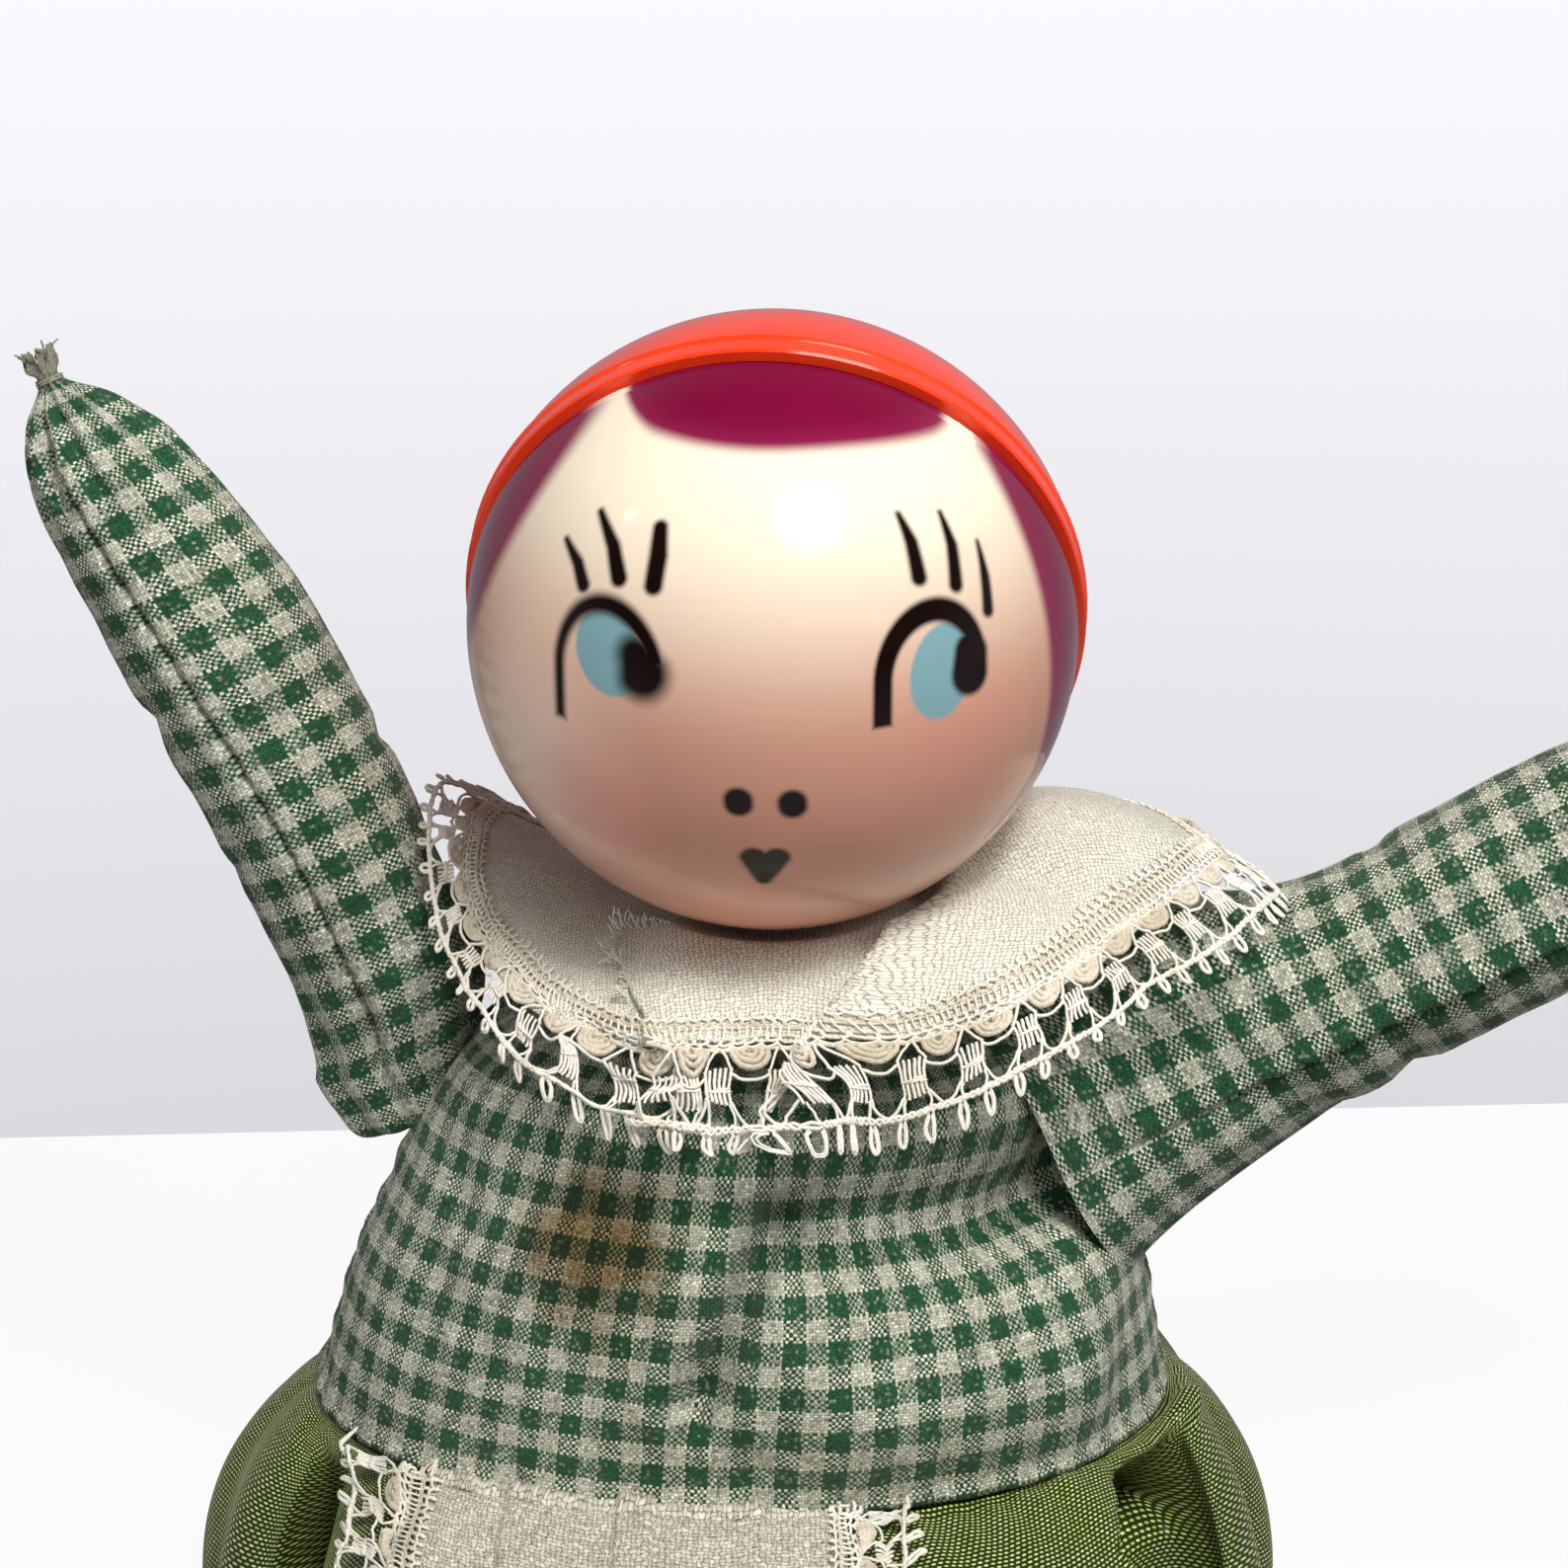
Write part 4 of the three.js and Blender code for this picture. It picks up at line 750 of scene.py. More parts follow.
# %% Threads as pieces
def thread_piece(name, strands, finishes, replaces=()):
    """Round threads along rows of points in millimetres, each with its radius and its finish, as one mesh."""
    curve = bpy.data.curves.new(name, "CURVE")
    curve.dimensions, curve.bevel_depth, curve.bevel_resolution, curve.use_fill_caps = "3D", MM, 0, True
    for finish in finishes:
        curve.materials.append(finish)
    for points, radius, which in strands:
        row = curve.splines.new("POLY")
        row.points.add(len(points) - 1)
        row.points.foreach_set("co", np.hstack([points * MM, np.ones((len(points), 1))]).ravel())
        row.points.foreach_set("radius", np.full(len(points), radius))
        row.material_index = which
    drawn = bpy.data.objects.new(name + "_line", curve)
    scene.collection.objects.link(drawn)
    mesh = bpy.data.meshes.new_from_object(drawn.evaluated_get(bpy.context.evaluated_depsgraph_get()))
    bpy.data.objects.remove(drawn)
    bm = bmesh.new()
    bm.from_mesh(mesh)
    bpy.data.meshes.remove(mesh)
    return new_piece(bm, name, finishes, replaces)


print("helpers for pieces ready")

# %% [markdown]
# ## Ball head
# The two halves of the ball are thin shells. The cap stands 0.8 mm proud of the face at the seam, and has
# a fine bead moulded near its edge. The face has a plain band at its rim and a lip that fits inside the
# cap. Both are spun from their outlines, inside and outside, and then a round hole for the neck is cut
# through them.

# %% Spun shells
CAP_R = 35.6
neck_frame = Matrix.Translation(HEAD) @ Matrix.Rotation(HEAD_TILT, 4, "X") @ Matrix.Scale(MM, 4)
face_turn = Matrix.Rotation(math.radians(-4.8), 4, "Z") @ Matrix.Rotation(math.radians(8), 4, "X")
head_place = neck_frame @ face_turn


def arc(radius, start, end, steps):
    angles = np.radians(np.linspace(start, end, steps + 1))
    return [(radius * math.cos(a), radius * math.sin(a)) for a in angles]


def spun(outline, axis, steps=128):
    """A closed outline of (radius, distance along axis) points, turned about the axis."""
    bm = bmesh.new()
    side = Vector((1, 0, 0))
    verts = [bm.verts.new(side * max(r, 0) + axis * d) for r, d in outline]
    edges = [bm.edges.new(pair) for pair in zip(verts, verts[1:])]
    bmesh.ops.spin(bm, geom=verts + edges, cent=(0, 0, 0), axis=axis, angle=2 * math.pi, steps=steps,
                   use_merge=True)
    bmesh.ops.remove_doubles(bm, verts=bm.verts, dist=1e-4)
    bmesh.ops.recalc_face_normals(bm, faces=bm.faces)
    return bm


def with_neck_hole(piece):
    """Cuts the hole for the neck's spool through a shell."""
    bm = bmesh.new()
    bmesh.ops.create_cone(bm, cap_ends=True, segments=48, radius1=6.4, radius2=6.4, depth=20)
    bmesh.ops.translate(bm, vec=(0, 0, -CAP_R), verts=bm.verts)
    bmesh.ops.transform(bm, matrix=neck_frame, verts=bm.verts)
    drill = bpy.data.objects.new("drill", bpy.data.meshes.new("drill"))
    bm.to_mesh(drill.data)
    bm.free()
    scene.collection.objects.link(drill)
    hole = piece.modifiers.new("hole", "BOOLEAN")
    hole.object, hole.operation, hole.solver = drill, "DIFFERENCE", "EXACT"
    cut = bpy.data.meshes.new_from_object(piece.evaluated_get(bpy.context.evaluated_depsgraph_get()))
    piece.modifiers.remove(hole)
    piece.data = cut
    bpy.data.objects.remove(drill)
    return piece


# %% Face shell and cap shell
face_outline = [
    *arc(FACE_R, 90, 3.4, 44), *arc(FACE_R - 0.1, 3.2, 3.2, 0), *arc(FACE_R - 0.35, 3.0, 0.3, 4),
    (FACE_R - 0.6, 0), (33.8, 0), (33.8, -3), (32.9, -3), (32.9, 0), *arc(33.4, 4, 90, 30),
]
bm = spun(face_outline, Vector((0, -1, 0)))
bmesh.ops.transform(bm, matrix=head_place, verts=bm.verts)
face = new_piece(bm, "face_shell_painted", ivory, ["face_shell"], sharp=28)
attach(with_neck_hole(face), "head")

cap_outline = [
    *arc(CAP_R - 0.25, 0.65, 0.65, 0), *arc(CAP_R, 1.1, 4.6, 4), *arc(CAP_R + 0.18, 4.95, 4.95, 0),
    *arc(CAP_R + 0.3, 5.3, 5.9, 2), *arc(CAP_R + 0.18, 6.25, 6.25, 0), *arc(CAP_R, 6.6, 90, 44),
    *arc(34.2, 90, 0.7, 36), (CAP_R - 0.25, 0.42),
]
bm = spun(cap_outline, Vector((0, 1, 0)))
bmesh.ops.transform(bm, matrix=head_place, verts=bm.verts)
cap = new_piece(bm, "cap_shell_polished", orange, ["cap_shell"], sharp=28)
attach(with_neck_hole(cap), "head")

# %% [markdown]
# ## Neck spool and pellets
# A plastic spool joins the head to the body: its ball nods in the cloth neck, and its two flanges hold
# the shell. It is turned on the same lathe, with its edges rounded. The pellets inside the head stay as
# the frame has them.

# %% Neck spool
PIVOT = Vector((4.0, 0.0, 89.7)) * MM
neck_place = Matrix.Translation(PIVOT) @ Matrix.Rotation(HEAD_TILT, 4, "X") @ Matrix.Scale(MM, 4)
bm = spun([
    *arc(7, -90, 53, 18), (4.2, 7.6), (4.5, 8), (7.6, 8), (8, 8.4), (8, 9.6), (7.6, 10), (6, 10), (6, 14.6),
    (8.6, 14.6), (9, 15), (9, 16.2), (8.6, 16.6), (0, 16.6),
], Vector((0, 0, 1)), steps=64)
bmesh.ops.transform(bm, matrix=neck_place, verts=bm.verts)
spool = new_piece(bm, "neck_spool_turned", spool_plastic, ["neck_spool"], sharp=35)
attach(spool, "neck")
for name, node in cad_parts.items():
    if name.startswith("rattle_pellet"):
        node.data.materials.clear()
        node.data.materials.append(pellet_plastic)

# %% [markdown]
# ## Body
# The body is a stuffed bag, wide at the waist and narrow at the neck. Its outline is a row of stations,
# each with a height, a half width and a depth to the front and to the back, joined by a smooth curve. The
# cloth is one grid wrapped round it. The seams at the sides are drawn in, the bottom edge rolls under,
# and creases run where the photograph shows them. The back isn't seen, so it gets the same creases, less
# deep. A cloth simulation then swells it like the wadding inside does.

# %% Body outline
STATIONS = np.array([
    [0, 42, 16, 30], [4, 46, 20, 34], [25, 51, 20, 37], [28.5, 52.5, 30.875, 38.5], [32, 53, 34.5, 39],
    [47, 49.75, 35.25, 37.5], [62, 44.5, 34, 34], [78, 37, 28, 28], [86.4, 22.6, 18.1, 18.1],
    [90, 9.2, 9.2, 9.2], [94, 8.2, 8.2, 8.2],
])
SKIN = 1.2


def lean(z):
    return 4 * smooth((z - 32) / 62)


def body_point(share, angle, out=0.0):
    """Points of the body at shares of its outline and angles round it, moved out by a distance."""
    outline = STATIONS[:, [1, 0]]
    here = spline(outline, share)
    way = spline(outline, share + 1e-4) - spline(outline, share - 1e-4)
    way /= np.linalg.norm(way, axis=-1, keepdims=True)
    depths = spline(STATIONS[:, 2:], share)
    depth = np.where(np.sin(angle) < 0, depths[..., 0], depths[..., 1])
    z = here[..., 1]
    return np.stack([
        lean(z) + (here[..., 0] + way[..., 1] * out) * np.cos(angle),
        (depth + way[..., 1] * out) * np.sin(angle),
        z - way[..., 0] * out,
    ], -1)


fine = np.linspace(0, 1, 4001)
heights = spline(STATIONS[:, [1, 0]], fine)[:, 1]


def body_share(z):
    return np.interp(z, heights, fine)


def girth(share):
    """Distances round the body at one height, from the front's middle, at even angles from right to left."""
    around = np.linspace(-1.5 * np.pi, 0.5 * np.pi, 721)
    ring = body_point(np.full(721, share), around, SKIN)
    run = run_along(ring)
    return around, run - np.interp(-np.pi / 2, around, run)


WAIST = float(body_share(32))
print("waist at share", round(WAIST, 4))


# %% Bodice
def crease(x, z, ends, width):
    """1 along a line between two (x, z) ends, fading to both sides and at its ends."""
    (x0, z0), (x1, z1) = ends
    dx, dz = x1 - x0, z1 - z0
    t = ((x - x0) * dx + (z - z0) * dz) / (dx * dx + dz * dz)
    away = np.hypot(x - x0 - t * dx, z - z0 - t * dz)
    return bump(away, width) * smooth(t * 4 + 0.6) * smooth((1 - t) * 4 + 0.6)


FRONT_CREASES = [
    (((4.5, 69), (-5.5, 46)), 2.5, 7.6), (((7.8, 69), (6.6, 60)), 1.8, 0.9),
    (((-0.5, 67), (-10, 44)), 3.4, -2.2), (((10, 60), (2, 42)), 5.5, -1.5),
    (((5, 68), (43, 66)), 6.6, 8.6), (((8, 45), (42, 44)), 9.5, -4.2), (((-34, 64), (-20, 72)), 4.0, 0.9),
    (((38, 66), (22, 58)), 2.2, 0.6), (((40, 60), (26, 50)), 2.4, 0.5),
    (((-33, 72), (-38, 48)), 2.6, 0.7), (((-38, 60), (-26, 46)), 2.4, 0.5),
    (((16, 56), (24, 36)), 3.0, 0.4), (((-20, 52), (-24, 36)), 3.0, 0.35),
]


def bodice_at(u, v):
    angle = -1.5 * np.pi + 2 * np.pi * u
    share = WAIST + 0.004 + (1 - WAIST - 0.004) * v
    flat = body_point(share, angle, SKIN)
    z = flat[:, 2]
    out = np.full(len(u), SKIN + 0.25)
    for seam in (-np.pi, 0.0):
        away = np.abs(angle - seam) * 44
        out -= 1.1 * bump(away, 1.1) - 0.3 * np.sin(z * 1.1) * bump(away, 5)
    front = np.sin(angle) < 0
    for ends, width, depth in FRONT_CREASES:
        out -= np.where(front, depth * crease(flat[:, 0], z, ends, width), 0)
        out -= np.where(front, 0, 0.7 * depth * crease(-flat[:, 0], z, ends, width))
    out += 0.45 * lumps(flat, 16, 3.1) + 0.18 * lumps(flat, 5.5, 8.2)
    hem = np.clip(1 - (z - 32.3) / 2.2, 0, 1)
    out += 0.7 * np.sqrt(np.clip(1 - (2 * hem - 0.9) ** 2, 0, 1)) * (hem > 0) - 1.7 * smooth((hem - 0.75) * 4)
    out += 0.22 * np.sin(angle * 46) * bump(z - 35.5, 3.0)
    return body_point(share, angle, out)


around, waist_run = girth(WAIST)
chest_run = girth(float(body_share(62)))[1]


def bodice_cut(u, v):
    angle = -1.5 * np.pi + 2 * np.pi * u
    height = spline(STATIONS[:, [1, 0]], WAIST + (1 - WAIST) * v)[:, 1]
    narrow = 0.6 * smooth((height - 32) / 50)
    run = np.interp(angle, around, waist_run) * (1 - narrow) + np.interp(angle, around, chest_run) * narrow
    return np.stack([run + 1.1, np.where(height < 78, height, 78 + (height - 78) * 2.4) + 0.6], -1)


bm = cloth_grid(300, 90, bodice_at, bodice_cut)
bodice = new_piece(bm, "bodice_stuffed", gingham,
                   ["bodice_front", "bodice_back", "torso_stuffing"])


# %% Seat bag
def seat_at(u, v):
    angle = 2 * np.pi * u
    spot = body_point(WAIST * v, angle, SKIN)
    spot[:, 2] = np.where(v < 1e-6, 0.02, np.maximum(spot[:, 2], 0.02))
    return spot


def seat_cut(u, v):
    return np.stack([u * 270, v * 40], -1)


bm = cloth_grid(120, 24, seat_at, seat_cut)
rim = [e for e in bm.edges if e.is_boundary and all(v.co.z < 0.001 for v in e.verts)]
bottom = bmesh.ops.edgeloop_fill(bm, edges=rim)
layer = bm.loops.layers.uv.active
for loop in (loop for f in bottom["faces"] for loop in f.loops):
    loop[layer].uv = loop.vert.co.xy / MM
bmesh.ops.recalc_face_normals(bm, faces=bm.faces)
seat_bag = new_piece(bm, "seat_bag_sewn", gingham, ["seat_bag"])

# %% [markdown]
# ## Stuffed limbs
# Each arm and leg is a gingham tube: sewn along its length, gathered and tied at the tip, where a frayed
# tuft stands past the tie, and sewn at its root to the body. The grid's own join lies on the sewn seam,
# so the checks don't meet there, as on the real doll. Pleats fan out from the tie, and a groove with
# small puckers marks the seam. Where the root would reach into the body, its points are pushed out to the
# body's skin.

# %% Limb helpers
TIE = 1.35
TUFT = 1.6


def clear_of_body(spots, gap):
    """Pushes points that are inside the body out to its skin."""
    share = body_share(np.clip(spots[:, 2], 0, 93))
    half = spline(STATIONS[:, [1, 0]], share)[:, 0] + SKIN + gap
    depths = spline(STATIONS[:, 2:], share) + SKIN + gap
    depth = np.where(spots[:, 1] < 0, depths[:, 0], depths[:, 1])
    x = spots[:, 0] - lean(spots[:, 2])
    inside = np.hypot(x / half, spots[:, 1] / depth)
    grow = np.where(inside < 1, 1 / np.maximum(inside, 1e-6), 1)
    return np.stack([lean(spots[:, 2]) + x * grow, spots[:, 1] * grow, spots[:, 2]], -1)


def to_seam(u):
    """Moves the grid's columns closer together near the sewn seam at u = 0 and 1."""
    return u - 0.11 * np.sin(2 * np.pi * u)


def sewn_spot(limb, angle, part):
    """Points of the oval seam on the body's side that an arm's root is sewn to."""
    (forward, middle), high, wide = limb["seam_on_body"]
    z = middle - limb["side"] * high * part * np.cos(angle)
    y = forward + wide * part * np.sin(angle)
    share = body_share(np.clip(z, 0, 93))
    half = spline(STATIONS[:, [1, 0]], share)[:, 0] + SKIN + 0.35
    depth = spline(STATIONS[:, 2:], share)[:, 0] + SKIN
    return np.stack([lean(z) + limb["side"] * half * np.sqrt(np.maximum(1 - (y / depth) ** 2, 0)), y, z], -1)


# %% Shape of a limb
def limb_outline(limb):
    root, swell, length, back = limb["root"], limb["swell"], limb["length"], limb["back"]
    return [
        (root * 0.3, -back), (root * 0.85, -0.88 * back), (root * 1.02, -0.4 * back),
        (root + 0.3 * (swell - root), 0.05 * length), (root + 0.72 * (swell - root), 0.14 * length),
        (swell * 0.98, 0.32 * length), (swell, 0.48 * length), (swell * 0.96, 0.66 * length),
        (swell * 0.72, 0.87 * length), (swell * 0.42, 0.955 * length), (TIE, length),
        (TUFT * 0.85, length + 1.3), (TUFT, length + 3.0),
    ]


def limb_at(limb):
    """The cloth of one limb as a function of shares round it and along it."""
    outline, length, seed = limb_outline(limb), limb["length"], limb["seed"]
    turn = limb["turn"]
    def at(u, v):
        u = to_seam(u)
        r, z = spline(outline, v).T
        along = z / length
        angle = limb["seam"] + limb["twist"] * along + 2 * np.pi * u
        away = np.minimum(u, 1 - u) * 2 * np.pi * r
        plain = np.stack([r * np.cos(angle), r * np.sin(angle), z], -1)
        body = smooth(along * 8 + 0.4) * smooth((1.0 - along) * 12)
        r = r + body * (0.5 * lumps(plain, 11, seed) + 0.2 * lumps(plain, 4.5, seed + 5))
        r -= body * (limb["groove"] * bump(away, 0.45) - 0.4 * bump(away - 1.6, 1.2))
        r += body * 0.3 * np.sin(z * 1.9 + 3 * lumps(plain, 9, seed + 2)) * bump(away, 3.0)
        r += body * limb["lap"] * (u > 0.5) * smooth(away / 0.5) * np.exp(-away / 4.5)
        pleat = np.sin(13 * angle + 2.2 * lumps(plain, 6, seed + 9))
        r *= 1 + 0.13 * pleat * smooth((along - 0.76) / 0.2) * (along < 1.0)
        r *= 1 + 0.05 * np.sin(9 * angle + seed) * smooth((0.2 - along) / 0.2)
        past = smooth((z - length - 0.6) / 2.5)
        r *= 1 + past * 0.4 * np.sin(5 * angle + seed)
        z = z + past * 1.1 * np.sin(7 * angle + 2 * seed)
        for mid, height, slant, width, depth in limb["creases"]:
            off = (angle - limb["seam"] - mid + np.pi) % (2 * np.pi) - np.pi
            r -= depth * bump(z - height - slant * off, width) * bump(off, 0.9)
        r *= 1 + limb["flap"] * smooth((0.16 - along) / 0.22) * np.maximum(-np.cos(angle), 0) ** 2
        amount, middle, width = limb["puff"]
        r += amount * bump(along - middle, width) * np.maximum(-limb["side"] * np.cos(angle), 0)
        share = np.clip(along, 0, 1)
        sideways = limb["bend"] * share**2 - limb["bow"] * np.sin(np.pi * share**0.7)
        x = r * np.cos(angle) + limb["side"] * sideways
        spots = np.stack([x, r * np.sin(angle), z], -1) @ turn.T + limb["pivot"]
        if limb["seam_on_body"]:
            sewn = smooth((0.17 - along) / 0.17)[:, None]
            part = np.minimum(spline(outline, v)[:, 0] / limb["root"], 1.0)
            spots = spots + sewn * (sewn_spot(limb, angle, part) - spots)
        return clear_of_body(spots, 0.35) if limb["sewn"] else spots
    return at


def limb_cut(limb):
    """The flat pattern of a limb: the girth of its tube, and distances along the cloth to the tie."""
    at, steps, tied = limb_at(limb), np.linspace(0, 1, 121), 10 / 12
    run = np.mean([run_along(at(np.full(121, u), steps)) for u in (0.1, 0.3, 0.5, 0.7, 0.9)], axis=0)
    run += limb["length"] - np.interp(tied, steps, run)
    girth_of_tube = 6.4 * (limb["root"] + limb["swell"]) / 2
    def cut(u, v):
        return np.stack([(to_seam(u) - 0.5) * girth_of_tube + 1.3, np.interp(v, steps, run)], -1)
    return cut


# %% The four limbs
def turned(forward, raise_by, side):
    """Axes of an arm that is raised and brought forward by some degrees."""
    return np.array(Matrix.Rotation(math.radians(-side * forward), 3, "Z")
                    @ Matrix.Rotation(math.radians(side * (90 - raise_by)), 3, "Y"))


LEG_FORWARD = math.radians(90)
LEG_SPREAD = math.radians(7)
PLAIN = {"bow": 0.0, "bend": 0.0, "twist": 0.0, "seam": math.radians(-90), "sewn": False,
         "seam_on_body": None, "flap": 0.0, "puff": (0.0, 0.0, 1.0), "lap": 0.0, "groove": 1.15}
LIMBS = {
    "arm_right": {
        **PLAIN, "length": 90, "root": 6.5, "swell": 12.0, "bow": 4.2, "bend": 2.0, "side": -1, "back": 10.5,
        "seed": 1.7, "pivot": np.array([-43.874, 0, 77.772]), "turn": turned(0, 67, -1),
        "seam": math.radians(-92), "twist": math.radians(-22), "sewn": True, "flap": 0.5,
        "puff": (5.0, 0.04, 0.13),
        "creases": [(0.5, 44, 3, 1.6, 0.9), (1.2, 17, -2, 2.0, 0.9), (-0.9, 30, 4, 1.8, 0.7),
                    (1.9, 36, -3, 1.5, 0.8), (-1.6, 47, 5, 2.0, 1.2)]},
    "arm_left": {
        **PLAIN, "length": 90, "root": 10.5, "swell": 13.4, "side": 1, "back": 12.5,
        "seed": 4.3, "pivot": np.array([55.448, 0, 74.428]), "turn": turned(10, 33, 1),
        "seam": math.radians(-81), "twist": math.radians(17), "sewn": True,
        "seam_on_body": ((-9.0, 70.0), 17.8, 10.5), "puff": (7.5, 0.09, 0.12), "lap": 1.9, "groove": 0.4,
        "creases": [(-1.1, 20, 4, 2.0, 0.9), (0.9, 26, -3, 2.2, 1.0), (-2.0, 34, 3, 1.7, 0.7),
                    (0.4, 13, 3, 2.0, 1.0)]},
}
for name, side in (("leg_right", -1), ("leg_left", 1)):
    turn = Matrix.Rotation(side * LEG_SPREAD, 3, "Z") @ Matrix.Rotation(LEG_FORWARD, 3, "X")
    LIMBS[name] = {
        **PLAIN, "length": 86, "root": 10.2, "swell": 11.0, "side": side, "back": 9.5, "seed": 6.0 + side,
        "pivot": np.array([side * 22.25, -30.541, 11.6]), "turn": np.array(turn),
        "creases": [(1.0, 40, 3, 1.8, 0.5), (-1.4, 22, -3, 1.8, 0.6)]}
print("limbs:", list(LIMBS))

# %% Sleeves, legs and ties
limb_pieces = {}
for name, limb in LIMBS.items():
    skin = name + ("_sleeve" if name.startswith("arm") else "_cloth")
    bm = cloth_grid(84, 120, limb_at(limb), limb_cut(limb))
    end = [e for e in bm.edges if e.is_boundary]
    pole = min(end, key=lambda e: (e.verts[0].co - Vector(limb["pivot"]) * MM).length)
    root_ring = [e for e in end if (e.verts[0].co - pole.verts[0].co).length < 0.02]
    bmesh.ops.edgeloop_fill(bm, edges=root_ring)
    bmesh.ops.recalc_face_normals(bm, faces=bm.faces)
    limb_pieces[name] = new_piece(bm, skin + "_stuffed", gingham, [skin, name + "_stuffing"])
    turns = np.linspace(0, 2.5 * 2 * np.pi, 100)
    helix = np.stack([(TIE + 0.2) * np.cos(turns), (TIE + 0.2) * np.sin(turns),
                      limb["length"] - 0.3 + turns * 0.05], -1)
    helix[:, 0] += limb["side"] * limb["bend"]
    tie = thread_piece(name + "_tie_wound", [(helix @ limb["turn"].T + limb["pivot"], 0.2, 0)],
                       [sewing_thread], [name + "_tie"])
    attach(tie, name)

# %% [markdown]
# ## Stuffing
# Cloth that is filled with wadding swells between its seams. Blender's cloth solver does that: gravity is
# off, air pressure pushes from inside, and the points along seams, ties and edges are held. No point may
# move further than a cap, because the filling gives way only so far.


# %% Swell the stuffed pieces
def stuff(piece, held, most, frames=16):
    """Swells a piece by pressure, with held points fixed, and keeps each point within most millimetres."""
    mesh = piece.data
    rest = np.array([v.co for v in mesh.vertices])
    group = piece.vertex_groups.new(name="sewn")
    for i, weight in enumerate(held(rest / MM)):
        group.add([i], float(weight), "REPLACE")
    solver = piece.modifiers.new("filling", "CLOTH")
    settings = solver.settings
    settings.quality, settings.mass = 5, 0.08
    settings.tension_stiffness = settings.compression_stiffness = 12
    settings.shear_stiffness, settings.bending_stiffness = 4, 0.4
    settings.use_pressure, settings.uniform_pressure_force = True, 3.0
    settings.vertex_group_mass = group.name
    settings.effector_weights.gravity = 0
    solver.collision_settings.use_collision = False
    for step in range(1, frames + 1):
        scene.frame_set(step)
    swollen = piece.evaluated_get(bpy.context.evaluated_depsgraph_get()).to_mesh()
    moved = np.array([v.co for v in swollen.vertices]) - rest
    piece.modifiers.remove(solver)
    piece.vertex_groups.remove(group)
    scene.frame_set(1)
    far = np.linalg.norm(moved, axis=1, keepdims=True)
    moved *= np.minimum(1, most * MM / np.maximum(far, 1e-9))
    mesh.vertices.foreach_set("co", (rest + moved).astype(np.float32).ravel())
    mesh.update()
    print(f"{piece.name}: moved up to {far.max() / MM:.2f} mm, kept to {most} mm")


def held_bodice(p):
    """The body is held at its hem, its neck and its side seams."""
    sides = bump(p[:, 1], 1.2)
    return np.maximum.reduce([sides, smooth((36 - p[:, 2]) / 2), smooth((p[:, 2] - 84) / 4)])


def held_limb(limb):
    def held(p):
        local = (p - limb["pivot"]) @ limb["turn"]
        along = local[:, 2] / limb["length"]
        angle = np.arctan2(local[:, 1], local[:, 0]) - limb["seam"] - limb["twist"] * along
        away = np.abs((angle + np.pi) % (2 * np.pi) - np.pi) * np.hypot(local[:, 0], local[:, 1])
        return np.maximum.reduce([bump(away, 1.0), smooth((along - 0.9) / 0.05),
                                  smooth((0.06 - along) / 0.06)])
    return held


stuff(bodice, held_bodice, 0.9)
for name, limb in LIMBS.items():
    stuff(limb_pieces[name], held_limb(limb), 0.8)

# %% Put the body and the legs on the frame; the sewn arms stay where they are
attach(bodice, "torso")
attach(seat_bag, "torso")
for name, limb in LIMBS.items():
    piece = limb_pieces[name]
    axis, pivot = limb["turn"][:, 2], limb["pivot"]
    if limb["sewn"]:
        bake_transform(piece)
    else:
        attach(piece, name)
print("stuffed limbs:", list(limb_pieces))

# %% [markdown]
# ## Neck thread
# The cloth neck is tied in over the spool's ball with a few turns of thread, hidden under the chin.

# %% Neck thread
turns = np.linspace(0, 3 * 2 * np.pi, 160)
winding = np.stack([4 + 10.5 * np.cos(turns), 10.5 * np.sin(turns), 92.1 + 0.07 * turns], -1)
neck_tie = thread_piece("neck_thread_wound", [(winding, 0.4, 0)], [sewing_thread], ["neck_thread"])
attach(neck_tie, "torso")

# %% [markdown]
# ## Skirt
# The skirt is a straight length of taffeta, gathered into the waist. Small gathers at the waist open into
# wide folds at the hem. In front it lies on the legs, and at the sides and the back it falls to the
# table. The same formula gives the apron its place, so that the apron always lies on the skirt.


# %% Surface of the skirt
def skirt_point(angle, s):
    """The skirt's main surface at an angle round the waist and a share of the way to the hem."""
    waist = body_point(np.full_like(angle, WAIST), angle, SKIN + 0.4)
    from_front = np.abs((np.degrees(angle) - 90) % 360 - 180)
    lap = 1 - smooth((from_front - 26) / 32)
    flare = np.where(from_front > 90, 16 + 6 * smooth((from_front - 90) / 90),
                     8 + 8 * smooth((from_front - 58) / 32))
    fold = np.sin(15 * angle) * 2.6 * s * (1 - 0.6 * lap)
    wave = 0.5 * (1 + np.sin(15 * angle))
    s = np.clip(s, 0, 1.1)
    beside = flare * np.sin(np.clip(s, 0, 1) * np.pi / 2) ** 1.25 + fold
    out = beside + (41 * s - beside) * lap
    drop = (waist[:, 2] - 0.95) * s**1.7
    drop += ((waist[:, 2] - 23.95 - wave) * smooth(s) - drop) * lap
    tuck = 1 - smooth(s / 0.05)
    return np.stack([waist[:, 0] + out * np.cos(angle), waist[:, 1] + out * np.sin(angle),
                     waist[:, 2] - 0.2 - drop + 0.9 * tuck], -1)


def under_skirt(p):
    return np.stack([p[:, 0] * 0.5, p[:, 1] * 0.5, p[:, 2] - 32], -1)


# %% Folds of the skirt
BACK_FOLDS = (34, 62, 88, 117, 146)


